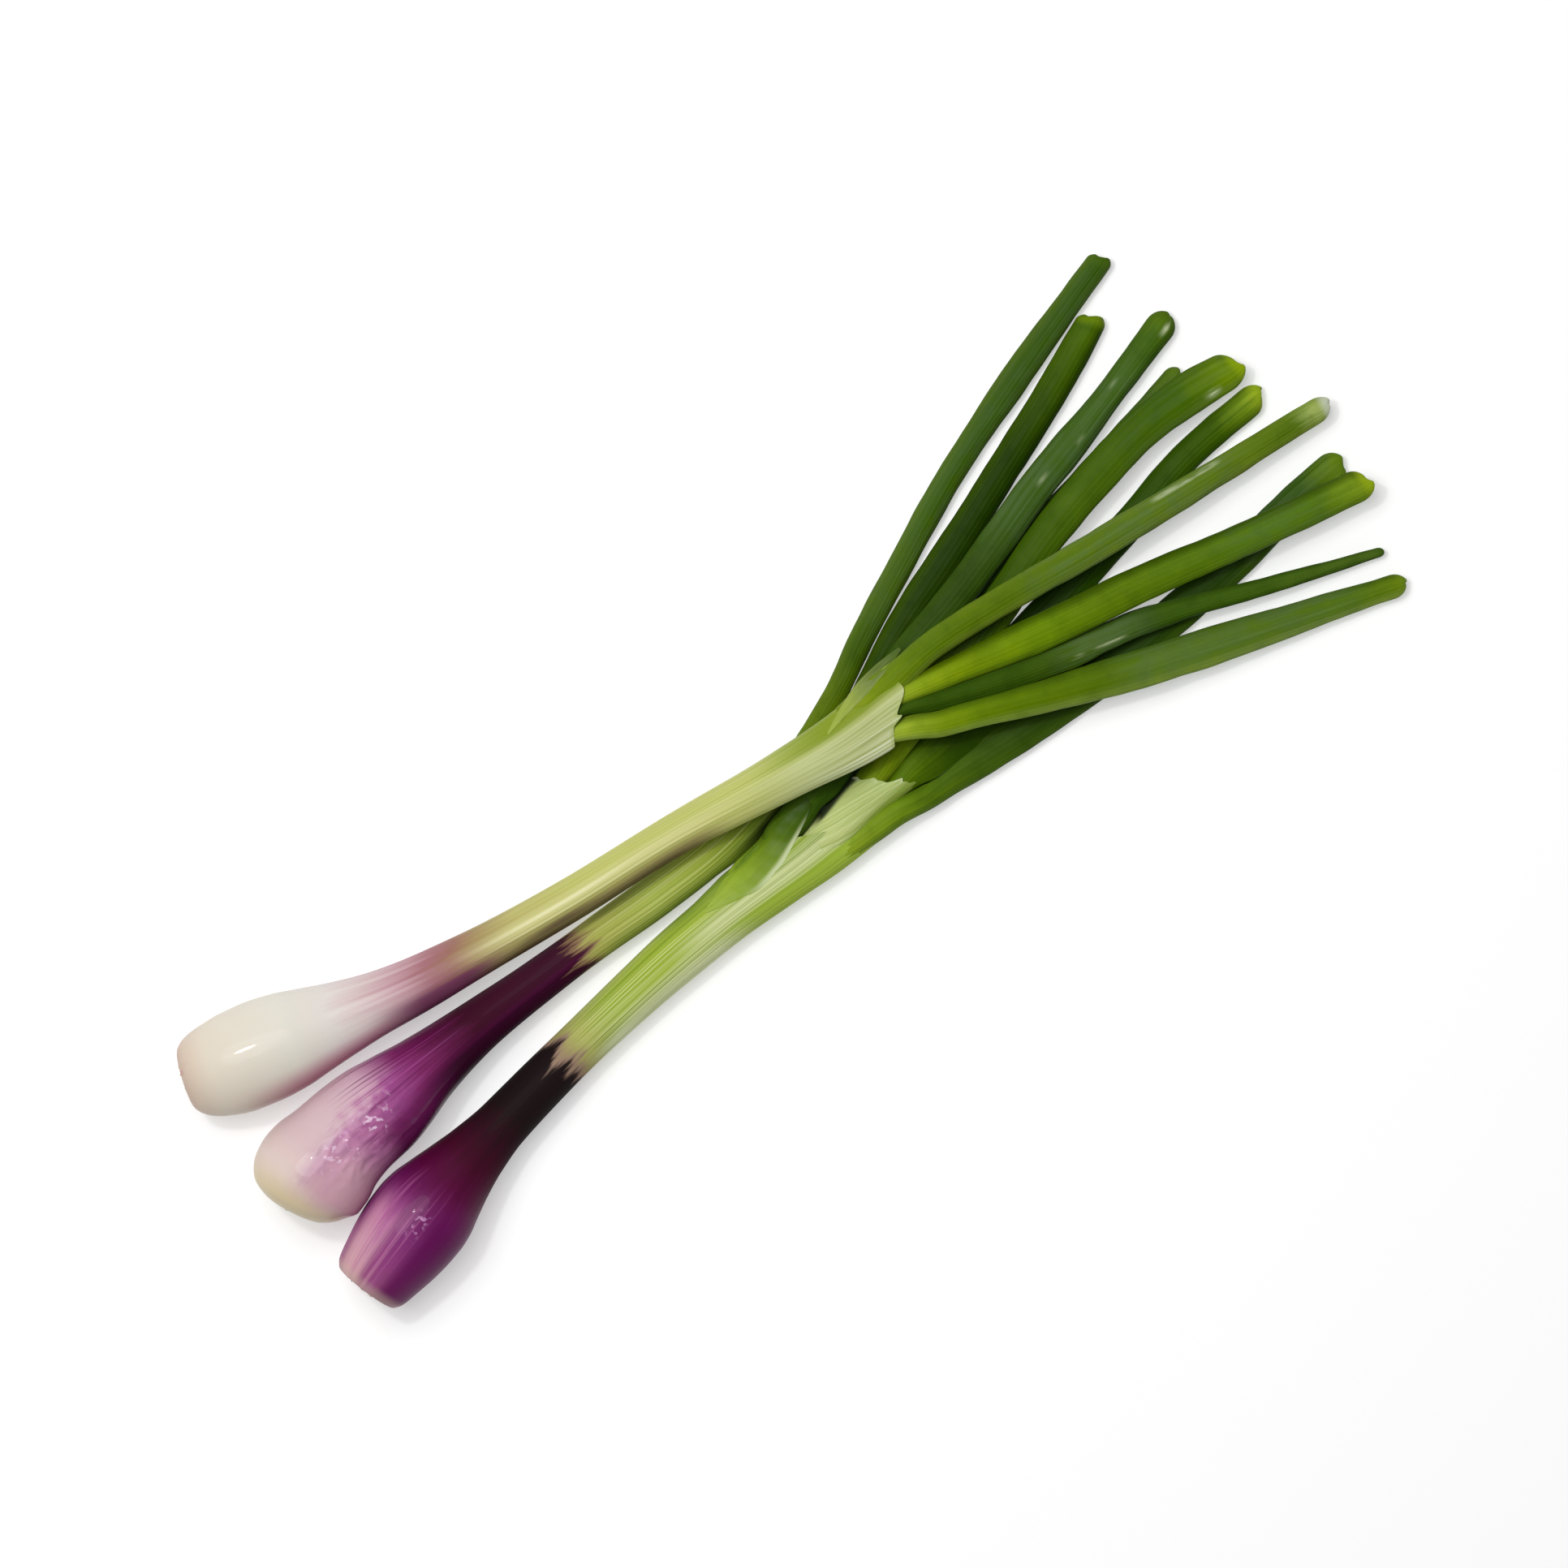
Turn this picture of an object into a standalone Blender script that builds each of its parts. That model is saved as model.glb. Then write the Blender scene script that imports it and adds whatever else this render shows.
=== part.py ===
"""A bunch of three red spring onions, trimmed at both ends and laid crossed on a flat surface.

Each onion grew as one bulb and shank. Its trimmed root plate sits in the blunt root end, and
its hollow leaf blades stand in the thin sheath mouth at the other end, where the shank opens.

+X runs along the bunch from the roots to the leaf tips, +Y is to the left of that, and +Z is
up. The origin is on the surface under the middle of the bunch. Lengths are in millimetres
until a mesh is made.
"""

import math
import random
from bisect import bisect_right

import bmesh
import bpy
from mathutils import Vector

MM = 0.001

# Walls, gaps and cut ends, in millimetres
CLEARANCE = 0.35
SHEATH_WALL = 0.8
LEAF_WALL = 0.7
LEAF_HOLLOW = 12.0
TIP_ROUNDING = 2.2
TIP_NARROWING = 0.3
ROOT_RECESS = 2.0
ROOT_RIM = 1.7
ROOT_PLATE_STANDS_OUT = 0.1
ROOT_STUB_INSET = 0.2
ROOT_STUB_LENGTH = (0.3, 0.9)

# The root plate's domed face: how far each ring stands out, and its share of the radius
ROOT_PLATE_DOME = ((0.25, 0.36), (0.15, 0.66), (0.0, 0.94), (-0.3, 1.0))

# How finely the round forms are divided
STEM_SIDES = 20
STEM_RINGS = 34
STEM_RING_CROWDING = 1.55
SHEATH_SIDES = 16
LEAF_SIDES = 12
LEAF_RINGS = 20
LEAF_RING_CROWDING = 1.25
PLATE_SIDES = 12
MOUTH_RINGS = 4
ROUTE_STEPS = 16
FRAME_SPAN = 1.5
SKIN_CREASE = math.radians(40)
PLATE_CREASE = math.radians(25)

# Colour, roughness
WHITE_BULB = ((0.78, 0.70, 0.60), 0.30)
PINK_BULB = ((0.45, 0.16, 0.32), 0.30)
PURPLE_BULB = ((0.20, 0.01, 0.11), 0.28)
ROOT_CREAM = ((0.62, 0.50, 0.32), 0.75)
MEMBRANE = ((0.47, 0.53, 0.27), 0.45)
GRASS_GREEN = ((0.06, 0.13, 0.01), 0.42)
BRIGHT_GREEN = ((0.16, 0.27, 0.01), 0.42)
PALE_GREEN = ((0.13, 0.22, 0.03), 0.45)
BLUE_GREEN = ((0.06, 0.12, 0.03), 0.50)


# Each onion: the line its middle follows as (x, y, z), its half width at distances from the
# root end, and its half height as a share of that half width. The mouth is cut at a slant:
# its left side ends that much later than its middle, and its right side as much sooner.
LEFT_ONION = dict(
    name="left_onion",
    colour=WHITE_BULB,
    route=[(-161.3, 38.8, 11.4), (-151, 34.8, 12.0), (-142, 32.2, 12.1), (-132, 29.3, 12.1),
           (-118, 25.2, 12.4), (-104, 21.5, 13.0), (-90, 18.7, 13.6), (-60, 13.6, 14.4),
           (-30, 9.8, 15.4), (0, 4.3, 16.2), (16, 1.9, 16.3), (31.5, 1.0, 15.8)],
    half_width=[(0, 7.4), (1.5, 9.1), (4, 10.6), (8, 11.8), (14, 12.7), (20, 12.8), (27, 12.2),
                (34, 10.8), (42, 9.2), (52, 7.7), (66, 6.7), (84, 5.8), (105, 5.4), (130, 5.1),
                (150, 5.5), (168, 6.3), (182, 7.4), (196, 8.8)],
    flatness=[(0, 1.0), (60, 1.0), (150, 0.92), (172, 0.82), (196, 0.52)],
    mouth_slant=5.5,
    slant_run=30,
    pocket_depth=12,
)
MIDDLE_ONION = dict(
    name="middle_onion",
    colour=PINK_BULB,
    route=[(-160.7, -2.4, 13.2), (-154, 0.4, 13.9), (-147, 1.8, 14.2), (-138, 3.0, 13.8),
           (-126, 3.1, 12.2), (-112, 3.7, 10.0), (-98, 3.9, 8.0), (-80, 3.2, 6.2),
           (-60, 2.2, 5.1), (-42, 1.0, 4.9), (-22, 0.9, 4.8), (-14, 1.9, 4.7), (-6, 3.0, 4.7),
           (2, 3.9, 4.6)],
    half_width=[(0, 7.4), (1.5, 10.2), (3, 12.0), (7, 14.3), (10, 14.8), (13.5, 14.6),
                (19, 13.4), (24, 12.9), (32, 12.4), (40, 10.9), (48, 9.0), (57, 7.5),
                (67, 6.4), (82, 5.5), (97, 5.1), (118, 5.3), (142, 5.2), (152, 5.0),
                (164, 5.3)],
    flatness=[(0, 1.0), (70, 1.0), (110, 0.93), (150, 0.9), (164, 0.84)],
    mouth_slant=1.5,
    slant_run=16,
    pocket_depth=10,
)
RIGHT_ONION = dict(
    name="right_onion",
    colour=PURPLE_BULB,
    route=[(-159.1, -29.0, 11.5), (-148, -26.3, 12.0), (-138, -24.0, 12.1), (-126, -21.6, 10.8),
           (-112, -19.4, 9.0), (-95, -17.2, 7.6), (-70, -14.9, 6.5), (-47, -13.6, 6.2),
           (-35, -13.5, 6.1), (-23, -13.8, 6.0), (-13, -14.1, 5.9), (1, -14.1, 5.8)],
    half_width=[(0, 8.3), (2, 9.7), (7, 10.9), (13, 12.0), (18, 12.5), (22, 12.6), (26, 12.2),
                (31, 10.9), (37, 9.3), (44, 7.8), (53, 6.7), (67, 6.4), (80, 6.2), (100, 6.5),
                (115, 6.9), (125, 7.0), (137, 7.7), (147, 8.5), (155, 9.0), (161, 9.5)],
    flatness=[(0, 1.0), (60, 1.0), (110, 0.93), (140, 0.76), (161, 0.62)],
    mouth_slant=-16.0,
    slant_run=50,
    pocket_depth=22,
)

# The right onion's next sheath stands inside its mouth and opens farther along.
INNER_SHEATH = dict(
    name="right_onion_inner_sheath",
    colour=MEMBRANE,
    seat=[(-21.2, 0.1, 0.2), (-9, 0.9, 0.3)],
    route=[(1, -12.6, 6.1), (12, -12.1, 6.2), (20, -12.0, 6.4)],
    half_width=[(0, 3.1), (20, 3.5), (27, 4.7), (34, 6.2), (40, 6.9)],
    half_height=[(0, 3.1), (20, 3.4), (40, 3.6)],
    mouth_slant=-3.0,
    slant_run=12,
    pocket_depth=9,
    rings=12,
)

# Each leaf blade: which mouth it stands in, where in that mouth it sits as (ahead of the
# mouth, across to the left, up), and the line it then follows to its cut tip.
LEAVES = [
    dict(name="left_onion_leaf_1", stands_in="left_onion", colour=PALE_GREEN,
         seat=[(-11.4, 4.4, 0.0), (0, 5.0, 0.0)],
         route=[(47, 6.2, 15.7), (66, 4.3, 14.4), (93, 0.1, 11.2), (121, -3.7, 8.6),
                (162.5, -8.9, 5.2)],
         half_width=[(0, 1.7), (11, 2.0), (17, 2.1), (20, 2.5), (27, 3.4), (50, 3.6),
                     (80, 3.8), (105, 3.5), (131, 3.1)],
         half_height=[(0, 2.0), (18, 2.0), (30, 2.3), (130, 2.0)]),
    dict(name="left_onion_leaf_2", stands_in="left_onion", colour=BRIGHT_GREEN,
         seat=[(-11.4, 0.75, 0.0), (0, 0.95, 0.1)],
         route=[(47, -1.6, 14.9), (63, -5.9, 13.4), (80, -10.3, 11.4), (97, -14.1, 10.0),
                (126, -22.1, 9.0), (158.2, -30.0, 7.8)],
         half_width=[(0, 1.4), (11, 1.7), (22, 2.7), (36, 3.7), (52, 4.6), (70, 4.6),
                     (88, 4.4), (105, 4.1), (136, 4.1)],
         half_height=[(0, 2.6), (11, 2.6), (30, 2.3), (133, 2.2)]),
    dict(name="left_onion_leaf_3", stands_in="left_onion", colour=BLUE_GREEN,
         seat=[(-11.4, -1.9, 0.0), (0, -2.0, 0.1)],
         route=[(46, -6.9, 14.0), (58, -11.5, 12.4), (70, -15.2, 10.7), (81, -18.5, 9.0),
                (92, -21.6, 7.6), (101, -25.0, 6.9), (120, -33.4, 5.2), (150.2, -45.9, 2.2)],
         half_width=[(0, 0.8), (11, 0.9), (18, 1.0), (26, 1.6), (38, 2.3), (52, 2.9),
                     (70, 3.4), (78, 3.3), (88, 2.7), (112, 2.1), (137, 1.2)],
         half_height=[(0, 2.0), (11, 2.0), (30, 1.8), (80, 1.8), (137, 1.1)],
         hollow=False),
    dict(name="left_onion_leaf_4", stands_in="left_onion", colour=BRIGHT_GREEN,
         seat=[(-11.4, -4.4, 0.0), (-5.5, -5.1, 0.0), (0, -6.9, 0.0)],
         route=[(38, -10.0, 14.4), (46, -13.4, 13.2), (65, -22.1, 10.8), (84, -30.2, 8.9),
                (104, -38.0, 6.4), (124, -45.6, 4.2), (149.6, -55.3, 2.6)],
         half_width=[(0, 1.4), (6, 1.6), (9, 2.1), (14, 3.0), (26, 3.5), (48, 4.1), (72, 4.8),
                     (86, 4.8), (108, 4.1), (133, 3.0)],
         half_height=[(0, 1.8), (8, 1.9), (30, 2.3), (84, 2.3), (130, 2.0)]),
    dict(name="middle_onion_leaf_1", stands_in="middle_onion", colour=GRASS_GREEN,
         seat=[(-9.4, 2.8, 0.0), (0, 2.8, 0.0), (4, 2.9, 0.0)],
         route=[(22, 11.6, 3.8), (36, 18.3, 2.9), (54, 26.0, 2.5), (80, 36.4, 2.4),
                (107, 44.8, 2.4), (141.8, 54.3, 2.4)],
         half_width=[(0, 1.1), (11, 1.3), (18, 2.1), (30, 2.9), (64, 3.2), (98, 3.3),
                     (120, 3.7), (136, 3.4), (156, 3.1)],
         half_height=[(0, 2.0), (12, 2.0), (24, 2.3), (156, 2.2)]),
    dict(name="middle_onion_leaf_2", stands_in="middle_onion", colour=GRASS_GREEN,
         seat=[(-9.4, 0.15, 0.0), (0, 0.1, 0.0)],
         route=[(21, 5.4, 4.0), (31, 9.1, 3.2), (44, 14.1, 2.5), (64, 20.3, 2.4),
                (89, 28.7, 2.4), (112, 36.6, 2.4), (131, 44.2, 2.4)],
         half_width=[(0, 1.1), (9, 1.2), (30, 2.3), (51, 3.5), (71, 4.3), (96, 4.1),
                     (131, 4.0), (145, 3.6)],
         half_height=[(0, 2.6), (9, 2.6), (35, 2.3), (145, 2.2)]),
    dict(name="middle_onion_leaf_3", stands_in="middle_onion", colour=GRASS_GREEN,
         seat=[(-9.4, -2.7, -0.1), (0, -2.9, -0.2)],
         route=[(22, 1.0, 3.0), (40, 5.4, 2.4), (67, 10.2, 2.2), (95, 13.4, 2.2),
                (116, 16.4, 2.2), (139, 20.4, 2.2)],
         half_width=[(0, 1.1), (11, 1.2), (30, 2.0), (46, 2.6), (66, 2.9), (126, 3.0),
                     (148, 2.7)],
         half_height=[(0, 2.0), (35, 2.0), (147, 2.0)]),
    dict(name="right_onion_leaf_1", stands_in="right_onion", colour=BLUE_GREEN,
         seat=[(-21.2, 5.2, 0.2), (-15.5, 5.7, 0.3)],
         route=[(-10.5, -6.9, 6.6), (-5, -5.7, 7.8), (0, -4.9, 8.4), (6, -3.5, 8.5),
                (11, -2.0, 8.4), (16, -0.5, 8.4), (28, 3.9, 8.2), (41, 8.2, 7.8),
                (60, 11.8, 7.5), (79, 16.6, 6.8), (93, 20.4, 5.6), (113, 24.7, 3.9),
                (145.8, 32.8, 2.4)],
         half_width=[(0, 1.3), (6, 1.6), (10, 2.6), (15, 3.2), (20, 3.5), (25, 3.3), (31, 2.7),
                     (38, 2.6), (50, 3.4), (70, 3.9), (100, 4.3), (128, 4.3), (148, 3.4),
                     (170, 3.8), (186, 3.4)],
         half_height=[(0, 1.9), (186, 2.1)]),
    dict(name="right_onion_leaf_2", stands_in="right_onion_inner_sheath", colour=GRASS_GREEN,
         seat=[(-8.4, 2.0, 0.0), (0, 3.0, 0.1)],
         route=[(28, -6.2, 7.8), (41, -2.7, 8.1), (56, 0.0, 8.0), (68, 3.4, 7.7),
                (88, 9.4, 7.5), (103, 12.4, 7.5), (125, 15.2, 7.3), (138, 14.5, 6.8),
                (151.5, 12.5, 6.0)],
         half_width=[(0, 1.9), (8, 2.7), (16, 4.0), (22, 4.7), (33, 5.0), (75, 4.6),
                     (100, 4.8), (118, 4.9), (130, 5.2), (145, 4.6)],
         half_height=[(0, 2.0), (8, 2.1), (20, 2.3), (142, 2.2)]),
    dict(name="right_onion_leaf_3", stands_in="right_onion_inner_sheath", colour=GRASS_GREEN,
         seat=[(-8.4, -2.1, 0.0), (0, -2.6, 0.0)],
         route=[(26, -14.2, 6.2), (33, -13.7, 5.0), (42, -12.9, 3.9), (51, -11.2, 3.2),
                (60, -9.0, 2.8), (68, -7.1, 2.5), (80, -5.0, 2.4), (103, -1.5, 2.3),
                (128, 3.0, 2.3), (151.3, 3.7, 2.3)],
         half_width=[(0, 1.7), (8, 2.4), (12, 2.8), (18, 4.1), (28, 4.8), (40, 4.7),
                     (50, 5.0), (58, 5.2), (66, 4.9), (80, 4.2), (100, 3.9), (140, 3.6)],
         half_height=[(0, 1.9), (8, 2.0), (140, 2.1)]),
    dict(name="right_onion_leaf_4", stands_in="right_onion", colour=GRASS_GREEN,
         seat=[(-21.2, -4.6, 0.0), (-10, -4.9, 0.0), (0, -5.5, 0.0)],
         route=[(9, -19.9, 5.7), (16.5, -20.4, 5.6), (23, -21.7, 4.8), (31, -22.1, 3.8),
                (42, -23.3, 3.1), (51, -24.4, 2.8), (60, -25.2, 2.5), (81, -26.5, 2.3),
                (101, -25.5, 2.3), (118, -25.1, 2.2), (135, -22.8, 2.2), (155.5, -21.4, 2.2)],
         half_width=[(0, 1.5), (20, 1.8), (32, 1.7), (38, 1.7), (43, 2.6), (51, 3.8),
                     (62, 4.4), (82, 4.4), (102, 4.5), (122, 4.8), (140, 4.1), (177, 3.9)],
         half_height=[(0, 2.0), (20, 2.2), (177, 2.1)]),
]


def smooth_value(stations, at):
    """The value at a distance, on a curve through the stations that never overshoots them."""
    places = [place for place, _ in stations]
    if at <= places[0]:
        return stations[0][1]
    if at >= places[-1]:
        return stations[-1][1]
    steps = [b[0] - a[0] for a, b in zip(stations, stations[1:])]
    slopes = [(b[1] - a[1]) / step for a, b, step in zip(stations, stations[1:], steps)]
    grades = [slopes[0]]
    for before, after in zip(slopes, slopes[1:]):
        same_way = before * after > 0
        grades.append(2 * before * after / (before + after) if same_way else 0.0)
    grades.append(slopes[-1])
    i = bisect_right(places, at) - 1
    t = (at - places[i]) / steps[i]
    start, end = stations[i][1], stations[i + 1][1]
    rise = steps[i]
    return (start * (1 + 2 * t) * (1 - t) ** 2 + rise * grades[i] * t * (1 - t) ** 2
            + end * t * t * (3 - 2 * t) + rise * grades[i + 1] * t * t * (t - 1))


def ease(share):
    """0 to 1 with a soft start and end."""
    share = min(max(share, 0.0), 1.0)
    return share * share * (3 - 2 * share)


class Route:
    """A smooth line through hand-chosen points, measured along its length."""

    def __init__(self, points):
        knots = [Vector(point) for point in points]
        spans = [(b - a).length for a, b in zip(knots, knots[1:])]
        pulls = [(knots[1] - knots[0]) / spans[0]]
        for i in range(1, len(knots) - 1):
            before = (knots[i] - knots[i - 1]) / spans[i - 1]
            after = (knots[i + 1] - knots[i]) / spans[i]
            share = spans[i - 1] / (spans[i - 1] + spans[i])
            pulls.append(before * (1 - share) + after * share)
        pulls.append((knots[-1] - knots[-2]) / spans[-1])
        self.line = [knots[0]]
        for i, span in enumerate(spans):
            for step in range(1, ROUTE_STEPS + 1):
                t = step / ROUTE_STEPS
                self.line.append(
                    knots[i] * ((1 + 2 * t) * (1 - t) ** 2)
                    + pulls[i] * (span * t * (1 - t) ** 2)
                    + knots[i + 1] * (t * t * (3 - 2 * t))
                    + pulls[i + 1] * (span * t * t * (t - 1)))
        self.reach = [0.0]
        for a, b in zip(self.line, self.line[1:]):
            self.reach.append(self.reach[-1] + (b - a).length)
        self.length = self.reach[-1]

    def at(self, distance):
        """The point at a distance along the line, straight on past either end."""
        i = min(max(bisect_right(self.reach, distance) - 1, 0), len(self.line) - 2)
        share = (distance - self.reach[i]) / (self.reach[i + 1] - self.reach[i])
        return self.line[i].lerp(self.line[i + 1], share)

    def frame(self, distance):
        """The point there, with the directions along the line, to its left, and up from it."""
        along = (self.at(distance + FRAME_SPAN) - self.at(distance - FRAME_SPAN)).normalized()
        left = Vector((0, 0, 1)).cross(along).normalized()
        return self.at(distance), along, left, along.cross(left)

    def place(self, distance, across, lift):
        """A point beside the line."""
        centre, _, left, up = self.frame(distance)
        return centre + left * across + up * lift


def ring(route, distance, half_width, half_height, sides, slant=0.0):
    """One oval section. A slant moves its left side ahead and its right side back."""
    centre, along, left, up = route.frame(distance)
    points = []
    for k in range(sides):
        turn = math.tau * (k + 0.5) / sides
        across = half_width * math.cos(turn)
        lift = half_height * math.sin(turn)
        points.append(centre + left * across + up * lift + along * (slant * math.cos(turn)))
    return points


def loft(rings):
    """A closed skin through the rings, in order, with a fan of faces over each end."""
    shape = bmesh.new()
    rows = [[shape.verts.new(point) for point in points] for points in rings]
    sides = len(rows[0])
    for row, after in zip(rows, rows[1:]):
        for k in range(sides):
            n = (k + 1) % sides
            shape.faces.new((row[k], row[n], after[n], after[k]))
    for row, forward in ((rows[0], False), (rows[-1], True)):
        middle = sum((vert.co for vert in row), Vector()) / sides
        hub = shape.verts.new(middle)
        for k in range(sides):
            n = (k + 1) % sides
            shape.faces.new((row[k], row[n], hub) if forward else (row[n], row[k], hub))
    return shape


def rest_on_surface(shape):
    """Flattens what would go below the surface, as a soft skin does under its own weight."""
    for vert in shape.verts:
        vert.co.z = max(vert.co.z, 0.0)


def make_material(name, colour, roughness):
    material = bpy.data.materials.new(name)
    material.use_nodes = True
    shader = material.node_tree.nodes["Principled BSDF"]
    shader.inputs["Base Color"].default_value = (*colour, 1.0)
    shader.inputs["Roughness"].default_value = roughness
    shader.inputs["Metallic"].default_value = 0.0
    material.diffuse_color = (*colour, 1.0)
    return material


def make_object(name, shape, finish, bunch, crease=SKIN_CREASE):
    """Turns a finished shape into an object of the bunch, in metres."""
    bmesh.ops.scale(shape, vec=(MM, MM, MM), verts=shape.verts)
    mesh = bpy.data.meshes.new(name)
    shape.to_mesh(mesh)
    shape.free()
    mesh.shade_smooth()
    mesh.set_sharp_from_angle(angle=crease)
    mesh.materials.append(make_material(name, *finish))
    thing = bpy.data.objects.new(name, mesh)
    bpy.context.scene.collection.objects.link(thing)
    thing.parent = bunch
    return thing


def mouth_rings(route, half_width, half_height, sides, slant, depth):
    """The inside of a thin-walled mouth, from its rim back to its floor."""
    rings = []
    for step in range(MOUTH_RINGS + 1):
        share = step / MOUTH_RINGS
        at = route.length - depth * share
        wide = half_width(at) - SHEATH_WALL
        high = half_height(at) - SHEATH_WALL
        rings.append(ring(route, at, wide, high, sides, slant * (1 - share)))
    return rings


def make_bulb_and_shank(onion, bunch):
    """One grown piece: root end with its recess, bulb, neck, shank and open sheath mouth."""
    route = Route(onion["route"])

    def half_width(at):
        return smooth_value(onion["half_width"], at)

    def half_height(at):
        return half_width(at) * smooth_value(onion["flatness"], at)

    recess = half_width(0) - ROOT_RIM
    rings = [ring(route, ROOT_RECESS, recess, recess, STEM_SIDES),
             ring(route, 0, recess, recess, STEM_SIDES)]
    for step in range(STEM_RINGS + 1):
        at = route.length * (step / STEM_RINGS) ** STEM_RING_CROWDING
        tilt = ease((at - route.length + onion["slant_run"]) / onion["slant_run"])
        rings.append(ring(route, at, half_width(at), half_height(at), STEM_SIDES,
                          onion["mouth_slant"] * tilt))
    rings += mouth_rings(route, half_width, half_height, STEM_SIDES, onion["mouth_slant"],
                         onion["pocket_depth"])
    shape = loft(rings)
    rest_on_surface(shape)
    make_object(onion["name"] + "_bulb_and_shank", shape, onion["colour"], bunch)
    return route


def make_root_plate(onion, route, bunch):
    """The hard disc that the roots grew from, with their cut stubs left on it."""
    draw = random.Random(onion["name"])
    radius = smooth_value(onion["half_width"], 0) - ROOT_RIM - CLEARANCE
    bands = [(-ROOT_PLATE_STANDS_OUT - out, share) for out, share in ROOT_PLATE_DOME]
    bands.append((ROOT_RECESS - CLEARANCE, 1.0))
    shape = loft([ring(route, at, radius * share, radius * share, PLATE_SIDES)
                  for at, share in bands])
    shape.faces.ensure_lookup_table()
    stubs = [shape.faces[k] for k in range(0, PLATE_SIDES, 2)]
    outward = -route.frame(0)[1]
    bmesh.ops.inset_individual(shape, faces=stubs, thickness=ROOT_STUB_INSET, use_even_offset=True)
    for stub in stubs:
        length = draw.uniform(*ROOT_STUB_LENGTH)
        for vert in stub.verts:
            vert.co += outward * length
    make_object(onion["name"] + "_root_plate", shape, ROOT_CREAM, bunch, PLATE_CREASE)


def seated_route(piece, mouth):
    """A line that starts in a mouth, at the piece's seat, and goes on by its own points."""
    seat = [mouth.place(mouth.length + ahead, across, lift)
            for ahead, across, lift in piece["seat"]]
    return Route(seat + piece["route"])


def make_inner_sheath(sheath, mouth, bunch):
    """A leaf's lower part, a thin tube that younger leaves come out of."""
    route = seated_route(sheath, mouth)

    def half_width(at):
        return smooth_value(sheath["half_width"], at)

    def half_height(at):
        return smooth_value(sheath["half_height"], at)

    rings = []
    for step in range(sheath["rings"] + 1):
        at = route.length * step / sheath["rings"]
        tilt = ease((at - route.length + sheath["slant_run"]) / sheath["slant_run"])
        rings.append(ring(route, at, half_width(at), half_height(at), SHEATH_SIDES,
                          sheath["mouth_slant"] * tilt))
    rings += mouth_rings(route, half_width, half_height, SHEATH_SIDES,
                         sheath["mouth_slant"], sheath["pocket_depth"])
    make_object(sheath["name"], loft(rings), sheath["colour"], bunch)
    return route


def make_leaf(leaf, mouth, bunch):
    """A hollow blade, cut across at its tip so that the tube shows there."""
    route = seated_route(leaf, mouth)

    def section(at, wall=0.0):
        near_tip = max(0.0, 1 - (route.length - at) / TIP_ROUNDING)
        rounding = 1 - TIP_NARROWING * near_tip ** 2
        half_width = smooth_value(leaf["half_width"], at) * rounding - wall
        half_height = smooth_value(leaf["half_height"], at) - wall
        return ring(route, at, half_width, half_height, LEAF_SIDES)

    reach = route.length - TIP_ROUNDING
    rings = [section(reach * (step / LEAF_RINGS) ** LEAF_RING_CROWDING)
             for step in range(LEAF_RINGS + 1)]
    rings += [section(reach + TIP_ROUNDING * share) for share in (0.6, 1.0)]
    if leaf.get("hollow", True):
        rings += [section(route.length - LEAF_HOLLOW * share, LEAF_WALL)
                  for share in (0.0, 0.5, 1.0)]
    shape = loft(rings)
    rest_on_surface(shape)
    make_object(leaf["name"], shape, leaf["colour"], bunch)


def clear_scene():
    for thing in list(bpy.data.objects):
        bpy.data.objects.remove(thing, do_unlink=True)


def build():
    clear_scene()
    bunch = bpy.data.objects.new("spring_onion_bunch", None)
    bpy.context.scene.collection.objects.link(bunch)
    mouths = {}
    for onion in (LEFT_ONION, MIDDLE_ONION, RIGHT_ONION):
        mouths[onion["name"]] = make_bulb_and_shank(onion, bunch)
        make_root_plate(onion, mouths[onion["name"]], bunch)
    mouths[INNER_SHEATH["name"]] = make_inner_sheath(
        INNER_SHEATH, mouths[RIGHT_ONION["name"]], bunch)
    for leaf in LEAVES:
        make_leaf(leaf, mouths[leaf["stands_in"]], bunch)


build()
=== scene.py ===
"""Three red spring onions, trimmed and laid crossed on a pale surface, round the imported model.

The bulbs grow from their root ends to their sheath mouths, and the leaf blades stand in those
mouths. Lengths are in millimetres until a mesh is made.
"""

import math
from bisect import bisect_right

import bpy
import numpy as np
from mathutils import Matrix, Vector, noise
from mathutils.bvhtree import BVHTree


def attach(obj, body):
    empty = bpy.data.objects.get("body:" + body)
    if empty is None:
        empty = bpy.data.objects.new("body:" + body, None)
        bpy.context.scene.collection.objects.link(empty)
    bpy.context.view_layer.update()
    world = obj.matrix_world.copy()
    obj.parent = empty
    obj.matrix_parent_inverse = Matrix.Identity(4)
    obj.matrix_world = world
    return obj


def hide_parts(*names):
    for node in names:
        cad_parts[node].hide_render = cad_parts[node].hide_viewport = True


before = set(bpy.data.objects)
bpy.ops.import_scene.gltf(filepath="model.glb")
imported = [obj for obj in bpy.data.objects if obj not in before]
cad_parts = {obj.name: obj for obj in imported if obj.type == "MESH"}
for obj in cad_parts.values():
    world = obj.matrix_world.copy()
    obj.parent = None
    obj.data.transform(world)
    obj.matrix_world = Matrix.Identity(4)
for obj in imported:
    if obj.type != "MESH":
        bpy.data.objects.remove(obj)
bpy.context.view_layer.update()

# The left onion's bulb and shank: the swollen foot and the long neck of one plant, wrapped in
# thin leaf sheaths that grew as one piece. White below, rose at the neck, then yellow green,
# it opens at the far end as a slanted, papery sheath mouth.

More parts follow.
